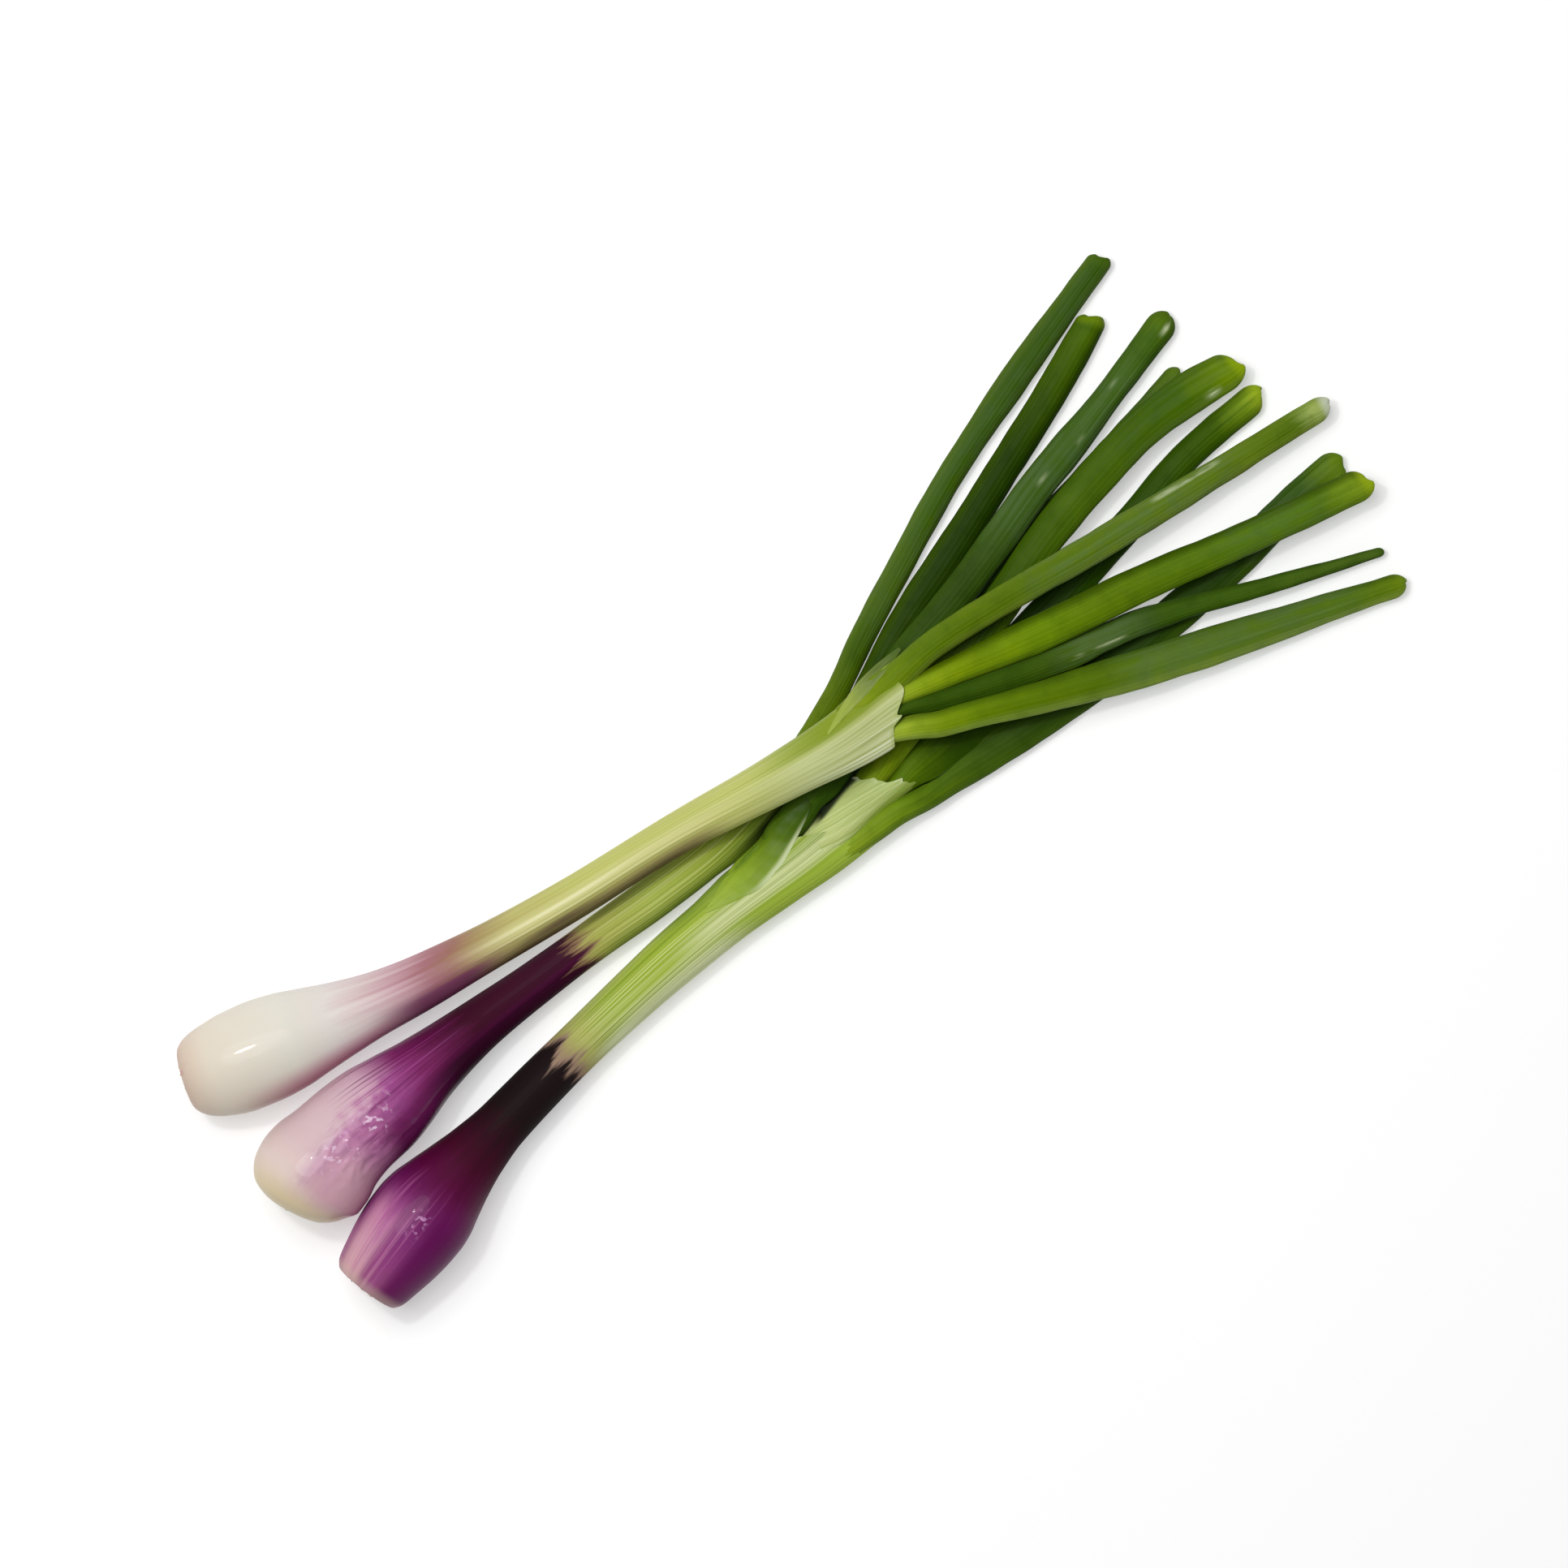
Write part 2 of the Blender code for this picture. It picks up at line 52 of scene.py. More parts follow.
MM = 0.001
ROUTE_STEPS = 16
FRAME_SPAN = 1.5
SKIN_SIDES = 200
SKIN_RINGS = 300
CUT_END_ROUNDING = 0.5
ROOT_RECESS = 2.0
ROOT_RIM = 1.7
RIM_THICKNESS = 0.22
SHEATH_WALL = 0.8
CLING_RUN = 14.0
RIM_BEVEL = 0.3
RING_CROWDING = 1.1
POCKET_SHARES = (0.0, 0.06, 0.14, 0.3, 0.6, 1.0)
HEM_FULLNESS = 0.8
HUB_CREASE = math.radians(55)
NO_HEM = [(0, 0), (1, 0)]


def smooth_value(stations, at):
    """The value at a distance, on a curve through the stations that never overshoots them."""
    places = [place for place, _ in stations]
    if at <= places[0]:
        return stations[0][1]
    if at >= places[-1]:
        return stations[-1][1]
    steps = [b[0] - a[0] for a, b in zip(stations, stations[1:])]
    slopes = [(b[1] - a[1]) / step for a, b, step in zip(stations, stations[1:], steps)]
    grades = [slopes[0]]
    for before, after in zip(slopes, slopes[1:]):
        grades.append(2 * before * after / (before + after) if before * after > 0 else 0.0)
    grades.append(slopes[-1])
    i = bisect_right(places, at) - 1
    t = (at - places[i]) / steps[i]
    return (stations[i][1] * (1 + 2 * t) * (1 - t) ** 2 + steps[i] * grades[i] * t * (1 - t) ** 2
            + stations[i + 1][1] * t * t * (3 - 2 * t)
            + steps[i] * grades[i + 1] * t * t * (t - 1))


def ease(share):
    """0 to 1 with a soft start and end, for numbers and arrays."""
    share = np.clip(share, 0.0, 1.0)
    return share * share * (3 - 2 * share)


class Route:
    """A smooth line through given points, measured along its length."""

    def __init__(self, points):
        knots = [Vector(point) for point in points]
        spans = [(b - a).length for a, b in zip(knots, knots[1:])]
        pulls = [(knots[1] - knots[0]) / spans[0]]
        for i in range(1, len(knots) - 1):
            before = (knots[i] - knots[i - 1]) / spans[i - 1]
            after = (knots[i + 1] - knots[i]) / spans[i]
            share = spans[i - 1] / (spans[i - 1] + spans[i])
            pulls.append(before * (1 - share) + after * share)
        pulls.append((knots[-1] - knots[-2]) / spans[-1])
        self.line = [knots[0]]
        for i, span in enumerate(spans):
            for step in range(1, ROUTE_STEPS + 1):
                t = step / ROUTE_STEPS
                self.line.append(
                    knots[i] * ((1 + 2 * t) * (1 - t) ** 2)
                    + pulls[i] * (span * t * (1 - t) ** 2)
                    + knots[i + 1] * (t * t * (3 - 2 * t))
                    + pulls[i + 1] * (span * t * t * (t - 1)))
        self.reach = [0.0]
        for a, b in zip(self.line, self.line[1:]):
            self.reach.append(self.reach[-1] + (b - a).length)
        self.length = self.reach[-1]

    def at(self, distance):
        """The point at a distance along the line, straight on past either end."""
        i = min(max(bisect_right(self.reach, distance) - 1, 0), len(self.line) - 2)
        share = (distance - self.reach[i]) / (self.reach[i + 1] - self.reach[i])
        return self.line[i].lerp(self.line[i + 1], share)

    def frame(self, distance):
        """The point there, with the directions along the line, to its left, and up from it."""
        along = (self.at(distance + FRAME_SPAN) - self.at(distance - FRAME_SPAN)).normalized()
        left = Vector((0, 0, 1)).cross(along).normalized()
        return self.at(distance), along, left, along.cross(left)

    def place(self, distance, across, lift):
        """A point beside the line."""
        centre, _, left, up = self.frame(distance)
        return centre + left * across + up * lift


def set_out(name, data):
    """A new object at the origin of the scene."""
    thing = bpy.data.objects.new(name, data)
    bpy.context.scene.collection.objects.link(thing)
    return thing


def skin_object(name, rows, flow, reach):
    """A closed skin through rows of points, with a hub over each end, in metres."""
    count, sides = rows.shape[:2]
    points = np.concatenate([rows.reshape(-1, 3), [rows[0].mean(0), rows[-1].mean(0)]])
    k = np.arange(sides)
    n = (k + 1) % sides
    base = (np.arange(count - 1) * sides)[:, None]
    quads = np.stack([base + k, base + n, base + sides + n, base + sides + k], -1)
    last = (count - 1) * sides
    caps = [(b, a, count * sides) for a, b in zip(k, n)]
    caps += [(last + a, last + b, count * sides + 1) for a, b in zip(k, n)]
    mesh = bpy.data.meshes.new(name)
    mesh.from_pydata((points * MM).tolist(), [], quads.reshape(-1, 4).tolist() + caps)
    for label, values in (("flow", flow), ("reach", reach)):
        values = np.concatenate([values.reshape(-1, 3), [values[0].mean(0), values[-1].mean(0)]])
        held = mesh.attributes.new(label, "FLOAT_VECTOR", "POINT")
        held.data.foreach_set("vector", values.astype(np.float32).ravel())
    mesh.shade_smooth()
    mesh.set_sharp_from_angle(angle=HUB_CREASE)
    return set_out(name, mesh)


def section_stack(route, stations, turns, shape):
    """Rows of points round a route. shape gives across, lift and ahead for a station."""
    rows = []
    for station in stations:
        centre, along, left, up = (np.array(v) for v in route.frame(station[0]))
        across, lift, ahead = shape(station, turns)
        rows.append(centre + np.outer(across, left) + np.outer(lift, up) + np.outer(ahead, along))
    return np.array(rows)


def ring_turns(sides):
    """The angle of each point round a section."""
    return math.tau * (np.arange(sides) + 0.5) / sides


def ring_values(turns, rows):
    """Three values for each ring of a skin, spread over its turns."""
    return np.array([np.stack([turns * 0 + value for value in row], -1) for row in rows])


def hem_share(side, top):
    """How much of a hem's width each point of a section takes: none on top, most low down. Hems
    fill dark gaps and carry painted shade.
    """
    return np.maximum(side, 0.0) * (1 - top) * HEM_FULLNESS


def grow_bulb_and_shank(name, onion, relief, rim, cling):
    """The skin from the root recess over the bulb and shank to the mouth and back into it.

    rim says how far each part of the mouth's edge reaches ahead, and cling how far it sinks
    onto the leaves, as a share of its height.
    """
    route = Route(onion["route"])
    turns = ring_turns(SKIN_SIDES)
    edge = smooth_value(onion["half_width"], 0)
    recess = edge - ROOT_RIM
    stations = [(ROOT_RECESS, recess, 0.0), (RIM_BEVEL, recess, 0.0),
                (0.0, recess + RIM_BEVEL, 0.0), (0.0, edge - CUT_END_ROUNDING, 0.0),
                (0.1, edge - 0.15, 0.0)]
    stations += [(route.length * (step / SKIN_RINGS) ** RING_CROWDING, None, 1.0)
                 for step in range(1, SKIN_RINGS + 1)]
    stations += [(route.length - onion["pocket_depth"] * share, "inside", share)
                 for share in POCKET_SHARES]

    def shape(station, turns):
        at, kind, share = station
        wide = smooth_value(onion["half_width"], at)
        flat = smooth_value(onion["flatness"], at)
        tilt = ease((at - route.length + onion["slant_run"]) / onion["slant_run"])
        ahead = (onion["mouth_slant"] * np.cos(turns) + rim(turns)) * tilt
        if kind is None:
            out = relief(at, turns)
        elif kind == "inside":
            out = -(RIM_THICKNESS + (SHEATH_WALL - RIM_THICKNESS) * min(share * 3, 1.0))
            out = out + relief(at, turns)
            ahead = (onion["mouth_slant"] * np.cos(turns) + rim(turns)) * (1 - share)
        else:
            return kind * np.cos(turns), kind * np.sin(turns), 0 * turns
        sunk = 1 - cling(turns) * ease((at - route.length + CLING_RUN) / CLING_RUN)
        hem = (smooth_value(onion.get("right_hem", NO_HEM), at)
               * hem_share(-np.cos(turns), np.sin(turns)))
        return ((wide + out) * np.cos(turns) - hem,
                (wide * flat + out) * np.sin(turns) * sunk, ahead)

    rows = section_stack(route, stations, turns, shape)
    rows[:, :, 2] = np.maximum(rows[:, :, 2], 0.0)
    flow = ring_values(turns, [(np.cos(turns), np.sin(turns), at) for at, _, _ in stations])
    reach = ring_values(turns, [(at, route.length - at, float(kind is not None))
                                for at, kind, _ in stations])
    return skin_object(name, rows, flow, reach), route


def ribs(turns, strength):
    """Fine lengthwise ribs, uneven round the shank."""
    return strength * (0.5 * np.sin(31 * turns + 0.4) + 0.35 * np.sin(43 * turns + 2.1)
                       + 0.35 * np.sin(17 * turns + 1.3))


class Shade:
    """One output of a shader tree that takes part in Python sums."""

    def __init__(self, finish, socket):
        self.finish = finish
        self.socket = socket

    def maths(self, operation, *values):
        return self.finish.node("ShaderNodeMath", {"operation": operation}, values)

    def __add__(self, other):
        return self.maths("ADD", self, other)

    def __radd__(self, other):
        return self.maths("ADD", other, self)

    def __sub__(self, other):
        return self.maths("SUBTRACT", self, other)

    def __rsub__(self, other):
        return self.maths("SUBTRACT", other, self)

    def __mul__(self, other):
        return self.maths("MULTIPLY", self, other)

    def __rmul__(self, other):
        return self.maths("MULTIPLY", other, self)

    def rise(self, start, end):
        """0 before start, 1 after end, soft between them. The two may be the other way round."""
        return self.finish.node(
            "ShaderNodeMapRange", {"interpolation_type": "SMOOTHSTEP"},
            {"Value": self, "From Min": start, "From Max": end})

    def within(self, low, high, soft):
        """1 between low and high, with soft edges."""
        return self.rise(low - soft, low + soft) * self.rise(high + soft, high - soft)


def paint(red, green, blue):
    """A screen colour of 0 to 255 as the light that it stands for."""
    def light(value):
        value /= 255
        return value / 12.92 if value <= 0.04045 else ((value + 0.055) / 1.055) ** 2.4
    return (light(red), light(green), light(blue), 1.0)


def add_node(tree, kind, settings=None, inputs=()):
    """Adds a node to any tree: its settings first, then values or links for its sockets."""
    made = tree.nodes.new(kind)
    for key, value in (settings or {}).items():
        if key == "stops":
            elements = made.color_ramp.elements
            while len(elements) < len(value):
                elements.new(0.5)
            for element, (place, rgb) in zip(elements, value):
                element.position = place
                element.color = paint(*rgb)
        else:
            setattr(made, key, value)
    for key, value in inputs.items() if isinstance(inputs, dict) else enumerate(inputs):
        if isinstance(value, bpy.types.NodeSocket):
            tree.links.new(value, made.inputs[key])
        else:
            made.inputs[key].default_value = value
    return made


class Finish:
    """A skin or leaf material, with the numbers that its pattern is laid out by."""

    def __init__(self, name, **constants):
        self.material = bpy.data.materials.new(name)
        self.material.use_nodes = True
        self.tree = self.material.node_tree
        self.shader = self.tree.nodes["Principled BSDF"]
        for label, value in constants.items():
            self.shader.inputs[label.replace("_", " ")].default_value = value
        self.flow = self.node("ShaderNodeAttribute", {"attribute_name": "flow"}, output="Vector")
        self.side = self.node("ShaderNodeSeparateXYZ", {}, [self.flow], 0)
        self.top = self.node("ShaderNodeSeparateXYZ", {}, [self.flow], 1)
        self.along = self.node("ShaderNodeSeparateXYZ", {}, [self.flow], 2)
        reach = self.node("ShaderNodeAttribute", {"attribute_name": "reach"}, output="Vector")
        self.to_end = self.node("ShaderNodeSeparateXYZ", {}, [reach], 1)
        self.hidden = self.node("ShaderNodeSeparateXYZ", {}, [reach], 2)

    def node(self, kind, settings=None, inputs=(), output=0):
        """Adds a node that can take other nodes' outputs, and gives its own output."""
        pairs = inputs.items() if isinstance(inputs, dict) else enumerate(inputs)
        sockets = {key: getattr(value, "socket", value) for key, value in pairs}
        return Shade(self, add_node(self.tree, kind, settings, sockets).outputs[output])

    def mix(self, first, second, factor, blend="MIX"):
        """Colour first, turning to second as factor goes from 0 to 1.

        Three numbers are a screen colour. Four are used as they are.
        """
        first, second = (paint(*tone) if isinstance(tone, tuple) and len(tone) == 3 else tone
                         for tone in (first, second))
        return self.node("ShaderNodeMix", {"data_type": "RGBA", "blend_type": blend},
                         {0: factor, 6: first, 7: second}, 2)

    def layers(self, colour, coats):
        """Colours laid over a first one in turn, each where its mask is."""
        for tone, mask in coats:
            colour = self.mix(colour, tone, mask)
        return colour

    def streaks(self, around, lengthwise, seed, detail=2.0, twist=0.0):
        """Noise drawn out along the plant, round it that many times finer, from 0 to 1."""
        flow = self.flow
        if twist:
            flow = self.node("ShaderNodeVectorRotate", {"rotation_type": "Z_AXIS"},
                             {"Vector": flow, "Angle": self.along * twist})
        drawn = self.node("ShaderNodeMapping", {"vector_type": "POINT"},
                          {"Vector": flow, "Location": (seed, seed * 0.7, seed * 1.3),
                           "Scale": (around, around, lengthwise)})
        return self.node("ShaderNodeTexNoise", {"noise_dimensions": "3D"},
                         {"Vector": drawn, "Scale": 1.0, "Detail": detail, "Roughness": 0.55})

    def grain(self, size, detail=2.0):
        """Noise of that size in millimetres, even in all directions."""
        place = self.node("ShaderNodeTexCoord", output="Object")
        return self.node("ShaderNodeTexNoise", {"noise_dimensions": "3D"},
                         {"Vector": place, "Scale": 1 / (size * MM), "Detail": detail})

    def ramp(self, value, length, stops):
        """Screen colours at distances along the plant."""
        laid = [(place / length, rgb) for place, rgb in stops]
        return self.node("ShaderNodeValToRGB", {"stops": laid}, [value * (1 / length)])

    def complete(self, colour, roughness, height, bump_depth, coat=None):
        """Joins the pattern to the shader, with height in millimetres as bump."""
        if coat:
            self.tree.links.new(coat.socket, self.shader.inputs["Coat Weight"])
        self.tree.links.new(colour.socket, self.shader.inputs["Base Color"])
        self.tree.links.new(roughness.socket, self.shader.inputs["Roughness"])
        bump = self.node("ShaderNodeBump", {}, {"Height": height, "Distance": bump_depth * MM,
                                                "Strength": 1.0})
        self.tree.links.new(bump.socket, self.shader.inputs["Normal"])
        return self.material


def dress(thing, material, node):
    """Puts a finish on a piece, hangs it on the root body and hides the imported part of the node
    that it stands for, if one is given.
    """
    thing.data.materials.clear()
    thing.data.materials.append(material)
    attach(thing, "root")
    if node:
        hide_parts(node)


LEFT_ONION = dict(
    route=[(-161.3, 38.8, 11.4), (-151, 34.8, 12.0), (-142, 32.2, 12.1), (-132, 29.3, 12.1),
           (-118, 25.2, 12.4), (-104, 21.5, 13.0), (-90, 18.7, 13.6), (-60, 13.6, 14.4),
           (-30, 9.8, 15.4), (0, 4.3, 16.2), (16, 1.9, 16.3), (31.5, 1.0, 15.8)],
    half_width=[(0, 7.4), (1.5, 9.1), (4, 10.6), (8, 11.8), (14, 12.7), (20, 12.8), (27, 12.2),
                (34, 10.8), (42, 9.2), (52, 7.7), (66, 6.7), (84, 5.8), (105, 5.4), (130, 5.1),
                (150, 5.5), (168, 6.3), (182, 7.4), (196, 8.8)],
    flatness=[(0, 1.0), (60, 1.0), (150, 0.92), (172, 0.80), (184, 0.57), (190, 0.44),
              (196, 0.36)],
    mouth_slant=5.5,
    slant_run=30,
    pocket_depth=12,
)


def left_relief(at, turns):
    swell = 0.10 * np.sin(2 * turns + at * 0.05) * ease(at / 20)
    return swell + ribs(turns, 0.045) * ease((at - 55) / 40)


def bump(turns, at, width):
    """1 at one place across the upper side, from -1 on the right to 1 on the left."""
    return np.exp(-((np.cos(turns) - at) / width) ** 2) * ease((np.sin(turns) + 0.1) / 0.3)


def left_rim(turns):
    """The papery edge reaches farthest beside the first leaf and has one small lobe."""
    return (3.6 * bump(turns, 0.15, 0.42) + 2.2 * bump(turns, -0.40, 0.07)
            + 0.12 * np.sin(5 * turns + 0.6) + 0.05 * np.sin(13 * turns + 2.0))


def left_cling(turns):
    return 0.10 * bump(turns, -0.7, 0.3)


left_skin, left_mouth = grow_bulb_and_shank(
    "left_bulb_and_shank", LEFT_ONION, left_relief, left_rim, left_cling)

white = Finish("white_onion_skin", Subsurface_Weight=0.15, Subsurface_Scale=0.003,
               Subsurface_Radius=(1.0, 0.6, 0.4), Specular_IOR_Level=0.12, Coat_Roughness=0.05)
side, along = white.side, white.along
fingers = white.streaks(5, 0.02, 3.0)
fine = white.streaks(14, 0.005, 8.0, 3.0)
hair = white.streaks(30, 0.01, 5.0)
colour = white.ramp(along + (fingers - 0.5) * 20 * along.rise(14, 46), 200, [
    (0, (198, 174, 156)), (2.5, (208, 190, 172)), (8, (216, 206, 190)),
    (28, (217, 213, 201)), (40, (216, 208, 203)), (49, (206, 186, 186)),
    (58, (188, 150, 158)), (66, (160, 108, 116)), (73, (150, 106, 94)),
    (80, (160, 138, 94)), (92, (184, 178, 110)), (110, (188, 190, 108)),
    (150, (186, 190, 108)), (168, (176, 184, 100)), (200, (172, 180, 96))])
on_shank = along.rise(68, 92)
# A painted highlight: a pale band down the top of the shank that fades towards the mouth.
painted_highlight_band = side.within(-0.32, 0.18, 0.22) * on_shank * along.rise(168, 130)
membrane = along.rise(150, 176) * side.rise(0.34, 0.10)
neck = (side + (fingers - 0.5) * 0.35).rise(-0.16, -0.62) * along.within(54, 82, 9)
lower = (side + (fingers - 0.5) * 0.3).rise(-0.18, -0.66) * along.rise(78, 92)
# A painted shade: a dark purple brown stripe low on the right flank, where the shank lies against
# the middle onion.
painted_shade_streak = along.within(92, 108, 10) * side.within(-0.74, -0.46, 0.14)
edge = along.rise(150, 170) * side.rise(0.3, 0.0)
film = white.streaks(9, 0.02, 31.0, 3.0)
near_mouth = edge * white.to_end.rise(34, 10)
# A painted highlight: a narrow bright line along the top of the shank.
painted_highlight_line = side.within(0.0, 0.12, 0.07) * along.within(88, 118, 12)
colour = white.layers(colour, [
    # The painted highlight band down the shank.
    ((216, 212, 152), painted_highlight_band * 0.6),
    ((226, 222, 176), fine.rise(0.52, 0.68) * on_shank * 0.4),
    ((124, 132, 44), fine.rise(0.47, 0.32) * on_shank * 0.4),
    ((116, 122, 52), hair.rise(0.42, 0.30) * on_shank * 0.5),
    ((192, 198, 142), membrane * 0.85),
    ((124, 144, 28), along.rise(156, 180) * side.rise(0.14, 0.42) * 0.95),
    ((184, 118, 140), side.rise(-0.5, -0.96) * along.within(18, 56, 10) * 0.85),
    ((108, 48, 84), neck * 0.92),
    ((142, 128, 78), lower * along.rise(152, 138) * 0.8),
    # Dark brown low on the right flank: partly the shank's own colour, partly painted shade where
    # it lies beside the middle onion's shank.
    ((84, 66, 44), side.rise(-0.55, -0.95) * along.within(80, 140, 10) * 0.85),
    # The painted shade stripe beside the middle onion.
    ((74, 44, 46), painted_shade_streak * 0.7),
    ((190, 120, 130), along.rise(5, 0) * white.grain(4).rise(0.5, 0.7) * 0.5),
    ((222, 228, 196), film.rise(0.5, 0.62) * near_mouth * 0.75),
    ((150, 166, 88), film.rise(0.47, 0.36) * near_mouth * 0.6),
    # The painted highlight line, brighter where the fine veins are.
    ((240, 236, 196), painted_highlight_line * (0.4 + fine * 0.6) * 0.8),
    ((158, 176, 86), white.to_end.rise(1.6, 0.2) * side.rise(0.0, -0.35)
     * along.rise(150, 170) * 0.6),
    ((104, 124, 44), white.hidden * along.rise(100, 120) * 0.9),
])
left_material = white.complete(
    colour, 0.40 + hair * 0.12, fine * on_shank + hair * 0.4, 0.06,
    0.13 - along.rise(40, 70) * 0.08)
dress(left_skin, left_material, "left_onion_bulb_and_shank")

# The middle onion's bulb and shank: the fattest bulb, cream at its cut end and rose white on
# its left, with purple pigment that streams up from its right side into a dark neck; painted
# shade darkens that right side further. The shank beyond is plain yellow green and runs under
# the left onion.

MIDDLE_ONION = dict(
    route=[(-160.7, -2.4, 13.2), (-154, 0.4, 13.9), (-147, 1.8, 14.2), (-138, 3.0, 13.8),
           (-126, 3.1, 12.2), (-112, 3.7, 10.0), (-98, 3.9, 8.0), (-80, 3.2, 6.2),
           (-60, 2.2, 5.1), (-42, 1.0, 4.9), (-22, 0.9, 4.8), (-14, 1.9, 4.7), (-6, 3.0, 4.7),
           (2, 3.9, 4.6)],
    half_width=[(0, 7.4), (1.5, 10.2), (3, 12.0), (7, 14.3), (10, 14.8), (13.5, 14.6),
                (19, 13.4), (24, 12.9), (32, 12.4), (40, 10.9), (48, 9.0), (57, 7.5),
                (67, 6.4), (82, 5.5), (97, 5.1), (118, 5.3), (142, 5.2), (152, 5.0),
                (164, 5.3)],
    flatness=[(0, 1.0), (70, 1.0), (110, 0.93), (150, 0.9), (164, 0.84)],
    mouth_slant=1.5,
    slant_run=16,
    pocket_depth=10,
    right_hem=[(134, 0.0), (144, 1.2), (150, 2.2), (164, 2.2)],
)


def middle_relief(at, turns):
    """Ribs on the shank, and the crinkled skin where the bulb narrows."""
    crinkled = (ease((at - 10) / 8) * ease((44 - at) / 10)
                * ease((np.sin(turns) - 0.55) / 0.35) * ease((0.45 - np.cos(turns)) / 0.3))
    folds = np.zeros_like(turns)
    if crinkled.max() > 0:
        for k in np.nonzero(crinkled > 0)[0]:
            spot = Vector((math.cos(turns[k]) * 4.6, math.sin(turns[k]) * 4.6, at * 0.26))
            folds[k] = (0.5 - abs(noise.noise(spot))) * 0.75
    swell = 0.12 * np.sin(3 * turns + at * 0.06) * ease(at / 20)
    return swell + folds * crinkled + ribs(turns, 0.05) * ease((at - 60) / 40)


def middle_rim(turns):
    return 0.4 * np.sin(4 * turns) + 0.25 * np.sin(11 * turns + 1.0)


def middle_cling(turns):
    return 0.05 * bump(turns, 0.0, 0.8)


middle_skin, middle_mouth = grow_bulb_and_shank(
    "middle_bulb_and_shank", MIDDLE_ONION, middle_relief, middle_rim, middle_cling)

pink = Finish("pink_onion_skin", Subsurface_Weight=0.08, Subsurface_Scale=0.002,
              Subsurface_Radius=(1.0, 0.5, 0.5), Specular_IOR_Level=0.08, Coat_Roughness=0.05)
side, along = pink.side, pink.along
fingers = pink.streaks(4.5, 0.03, 6.0, 3.0)
fine = pink.streaks(13, 0.008, 2.0, 3.0)
hair = pink.streaks(30, 0.012, 9.0)
where = along + (fingers - 0.5) * 16
bare = pink.ramp(along, 60, [
    (0, (206, 190, 150)), (4, (212, 194, 160)), (8, (216, 196, 188)),
    (14, (208, 182, 184)), (22, (206, 178, 184)), (34, (202, 162, 180)), (60, (150, 80, 120))])
dyed = pink.ramp(where, 120, [
    (0, (200, 172, 168)), (7, (196, 158, 166)), (14, (194, 146, 166)),
    (22, (184, 124, 160)), (30, (170, 98, 148)), (38, (150, 70, 132)),
    (45, (124, 40, 98)), (53, (90, 18, 64)), (63, (60, 10, 34)),
    (90, (60, 16, 38)), (120, (60, 18, 38))])
crumple = pink.grain(3.2, 3.0)
spread = (side + (fingers - 0.5) * 0.7 + (fine - 0.5) * 0.5 + (crumple - 0.5) * 0.5
          - (along - 24) * 0.014)
folded = along.within(20, 42, 7) * side.within(-0.7, 0.0, 0.2)
ragged = crumple * 0.5 + fine * 0.5
mauve = along.within(7, 22, 5) * side.within(-0.4, 0.2, 0.25)
right_side = (side + (fingers - 0.5) * 0.4).rise(-0.10, -0.5)
green = pink.ramp(along, 170, [
    (92, (158, 142, 100)), (101, (168, 170, 84)), (118, (166, 180, 82)),
    (134, (152, 168, 62)), (150, (120, 142, 36)), (170, (90, 112, 22))])
fringe = (along + (pink.streaks(2.2, 0.05, 4.0, 1.0) - 0.5) * 20
          + (pink.streaks(9, 0.16, 7.0, 2.0) - 0.5) * 9).rise(92, 101)
shank = along.rise(94, 108)
vivid = along.rise(66, 50) * along.rise(22, 34) * side.rise(-0.3, 0.1)
# Painted glints: small pale spots over the crinkled skin.
painted_glints = (pink.grain(1.7, 2.0).rise(0.58, 0.68) * along.within(15, 32, 5)
           * side.within(-0.36, 0.1, 0.14))
dull = along.rise(42, 64)
colour = pink.layers(bare, [
    (dyed, spread.rise(0.46, 0.0) * along.rise(3, 10)),
    ((118, 34, 98), ragged.rise(0.42, 0.66) * folded * 0.7),
    ((206, 150, 194), ragged.rise(0.44, 0.34) * along.within(12, 32, 7)
     * side.within(-0.4, 0.4, 0.2) * 0.4),
    ((176, 124, 158), mauve * (fingers * 0.5 + crumple * 0.5).rise(0.4, 0.6) * 0.6),
    (dyed, along.rise(30, 44)),
    ((208, 162, 176), right_side * along.within(5, 20, 5) * 0.7),
    # Darker purple, then near black, on the right side: partly pigment, partly painted shade on
    # the side away from the lamp.
    ((104, 14, 80), right_side * along.rise(25, 33) * 0.9),
    ((44, 2, 26), right_side * along.rise(38, 56) * 0.9),
    ((138, 108, 80), fringe.rise(0.0, 0.45) * 0.85),
    (green, fringe.rise(0.3, 1.0)),
    ((206, 206, 146), fine.rise(0.52, 0.68) * shank * 0.4),
    ((96, 114, 24), fine.rise(0.47, 0.32) * shank * 0.45),
    ((92, 110, 26), hair.rise(0.44, 0.32) * shank * 0.5),
    # Darker olive on the left flank, where the left onion's shank lies along it: painted shade.
    ((92, 96, 34), side.rise(0.5, 0.95) * shank * 0.6),
    ((100, 124, 30), side.rise(-0.3, -0.95) * shank * 0.5),
    # Painted shade: near black on the right hem, in the dark gap beside the right onion's first
    # leaf.
    ((16, 28, 4), side.rise(-0.5, -0.86) * along.rise(136, 150) * 0.95),
    ((176, 84, 158), fine.rise(0.54, 0.66) * vivid * 0.55),
    ((92, 14, 70), fine.rise(0.46, 0.36) * vivid * 0.6),
    # The painted glints.
    ((240, 214, 236), painted_glints * 0.75),
])
middle_material = pink.complete(colour, 0.36 + hair * 0.14 + dull * 0.3, fine * 0.6 + hair * 0.4,
                                0.08, 0.3 - dull * 0.28)
dress(middle_skin, middle_material, "middle_onion_bulb_and_shank")

# The right onion's bulb and shank: a deep purple bulb whose neck is nearly black, then a broad
# shank of pale green with strong veins. Its outer sheath opens on a long slant, because its left
# side turns into one leaf early and its right side into another later.

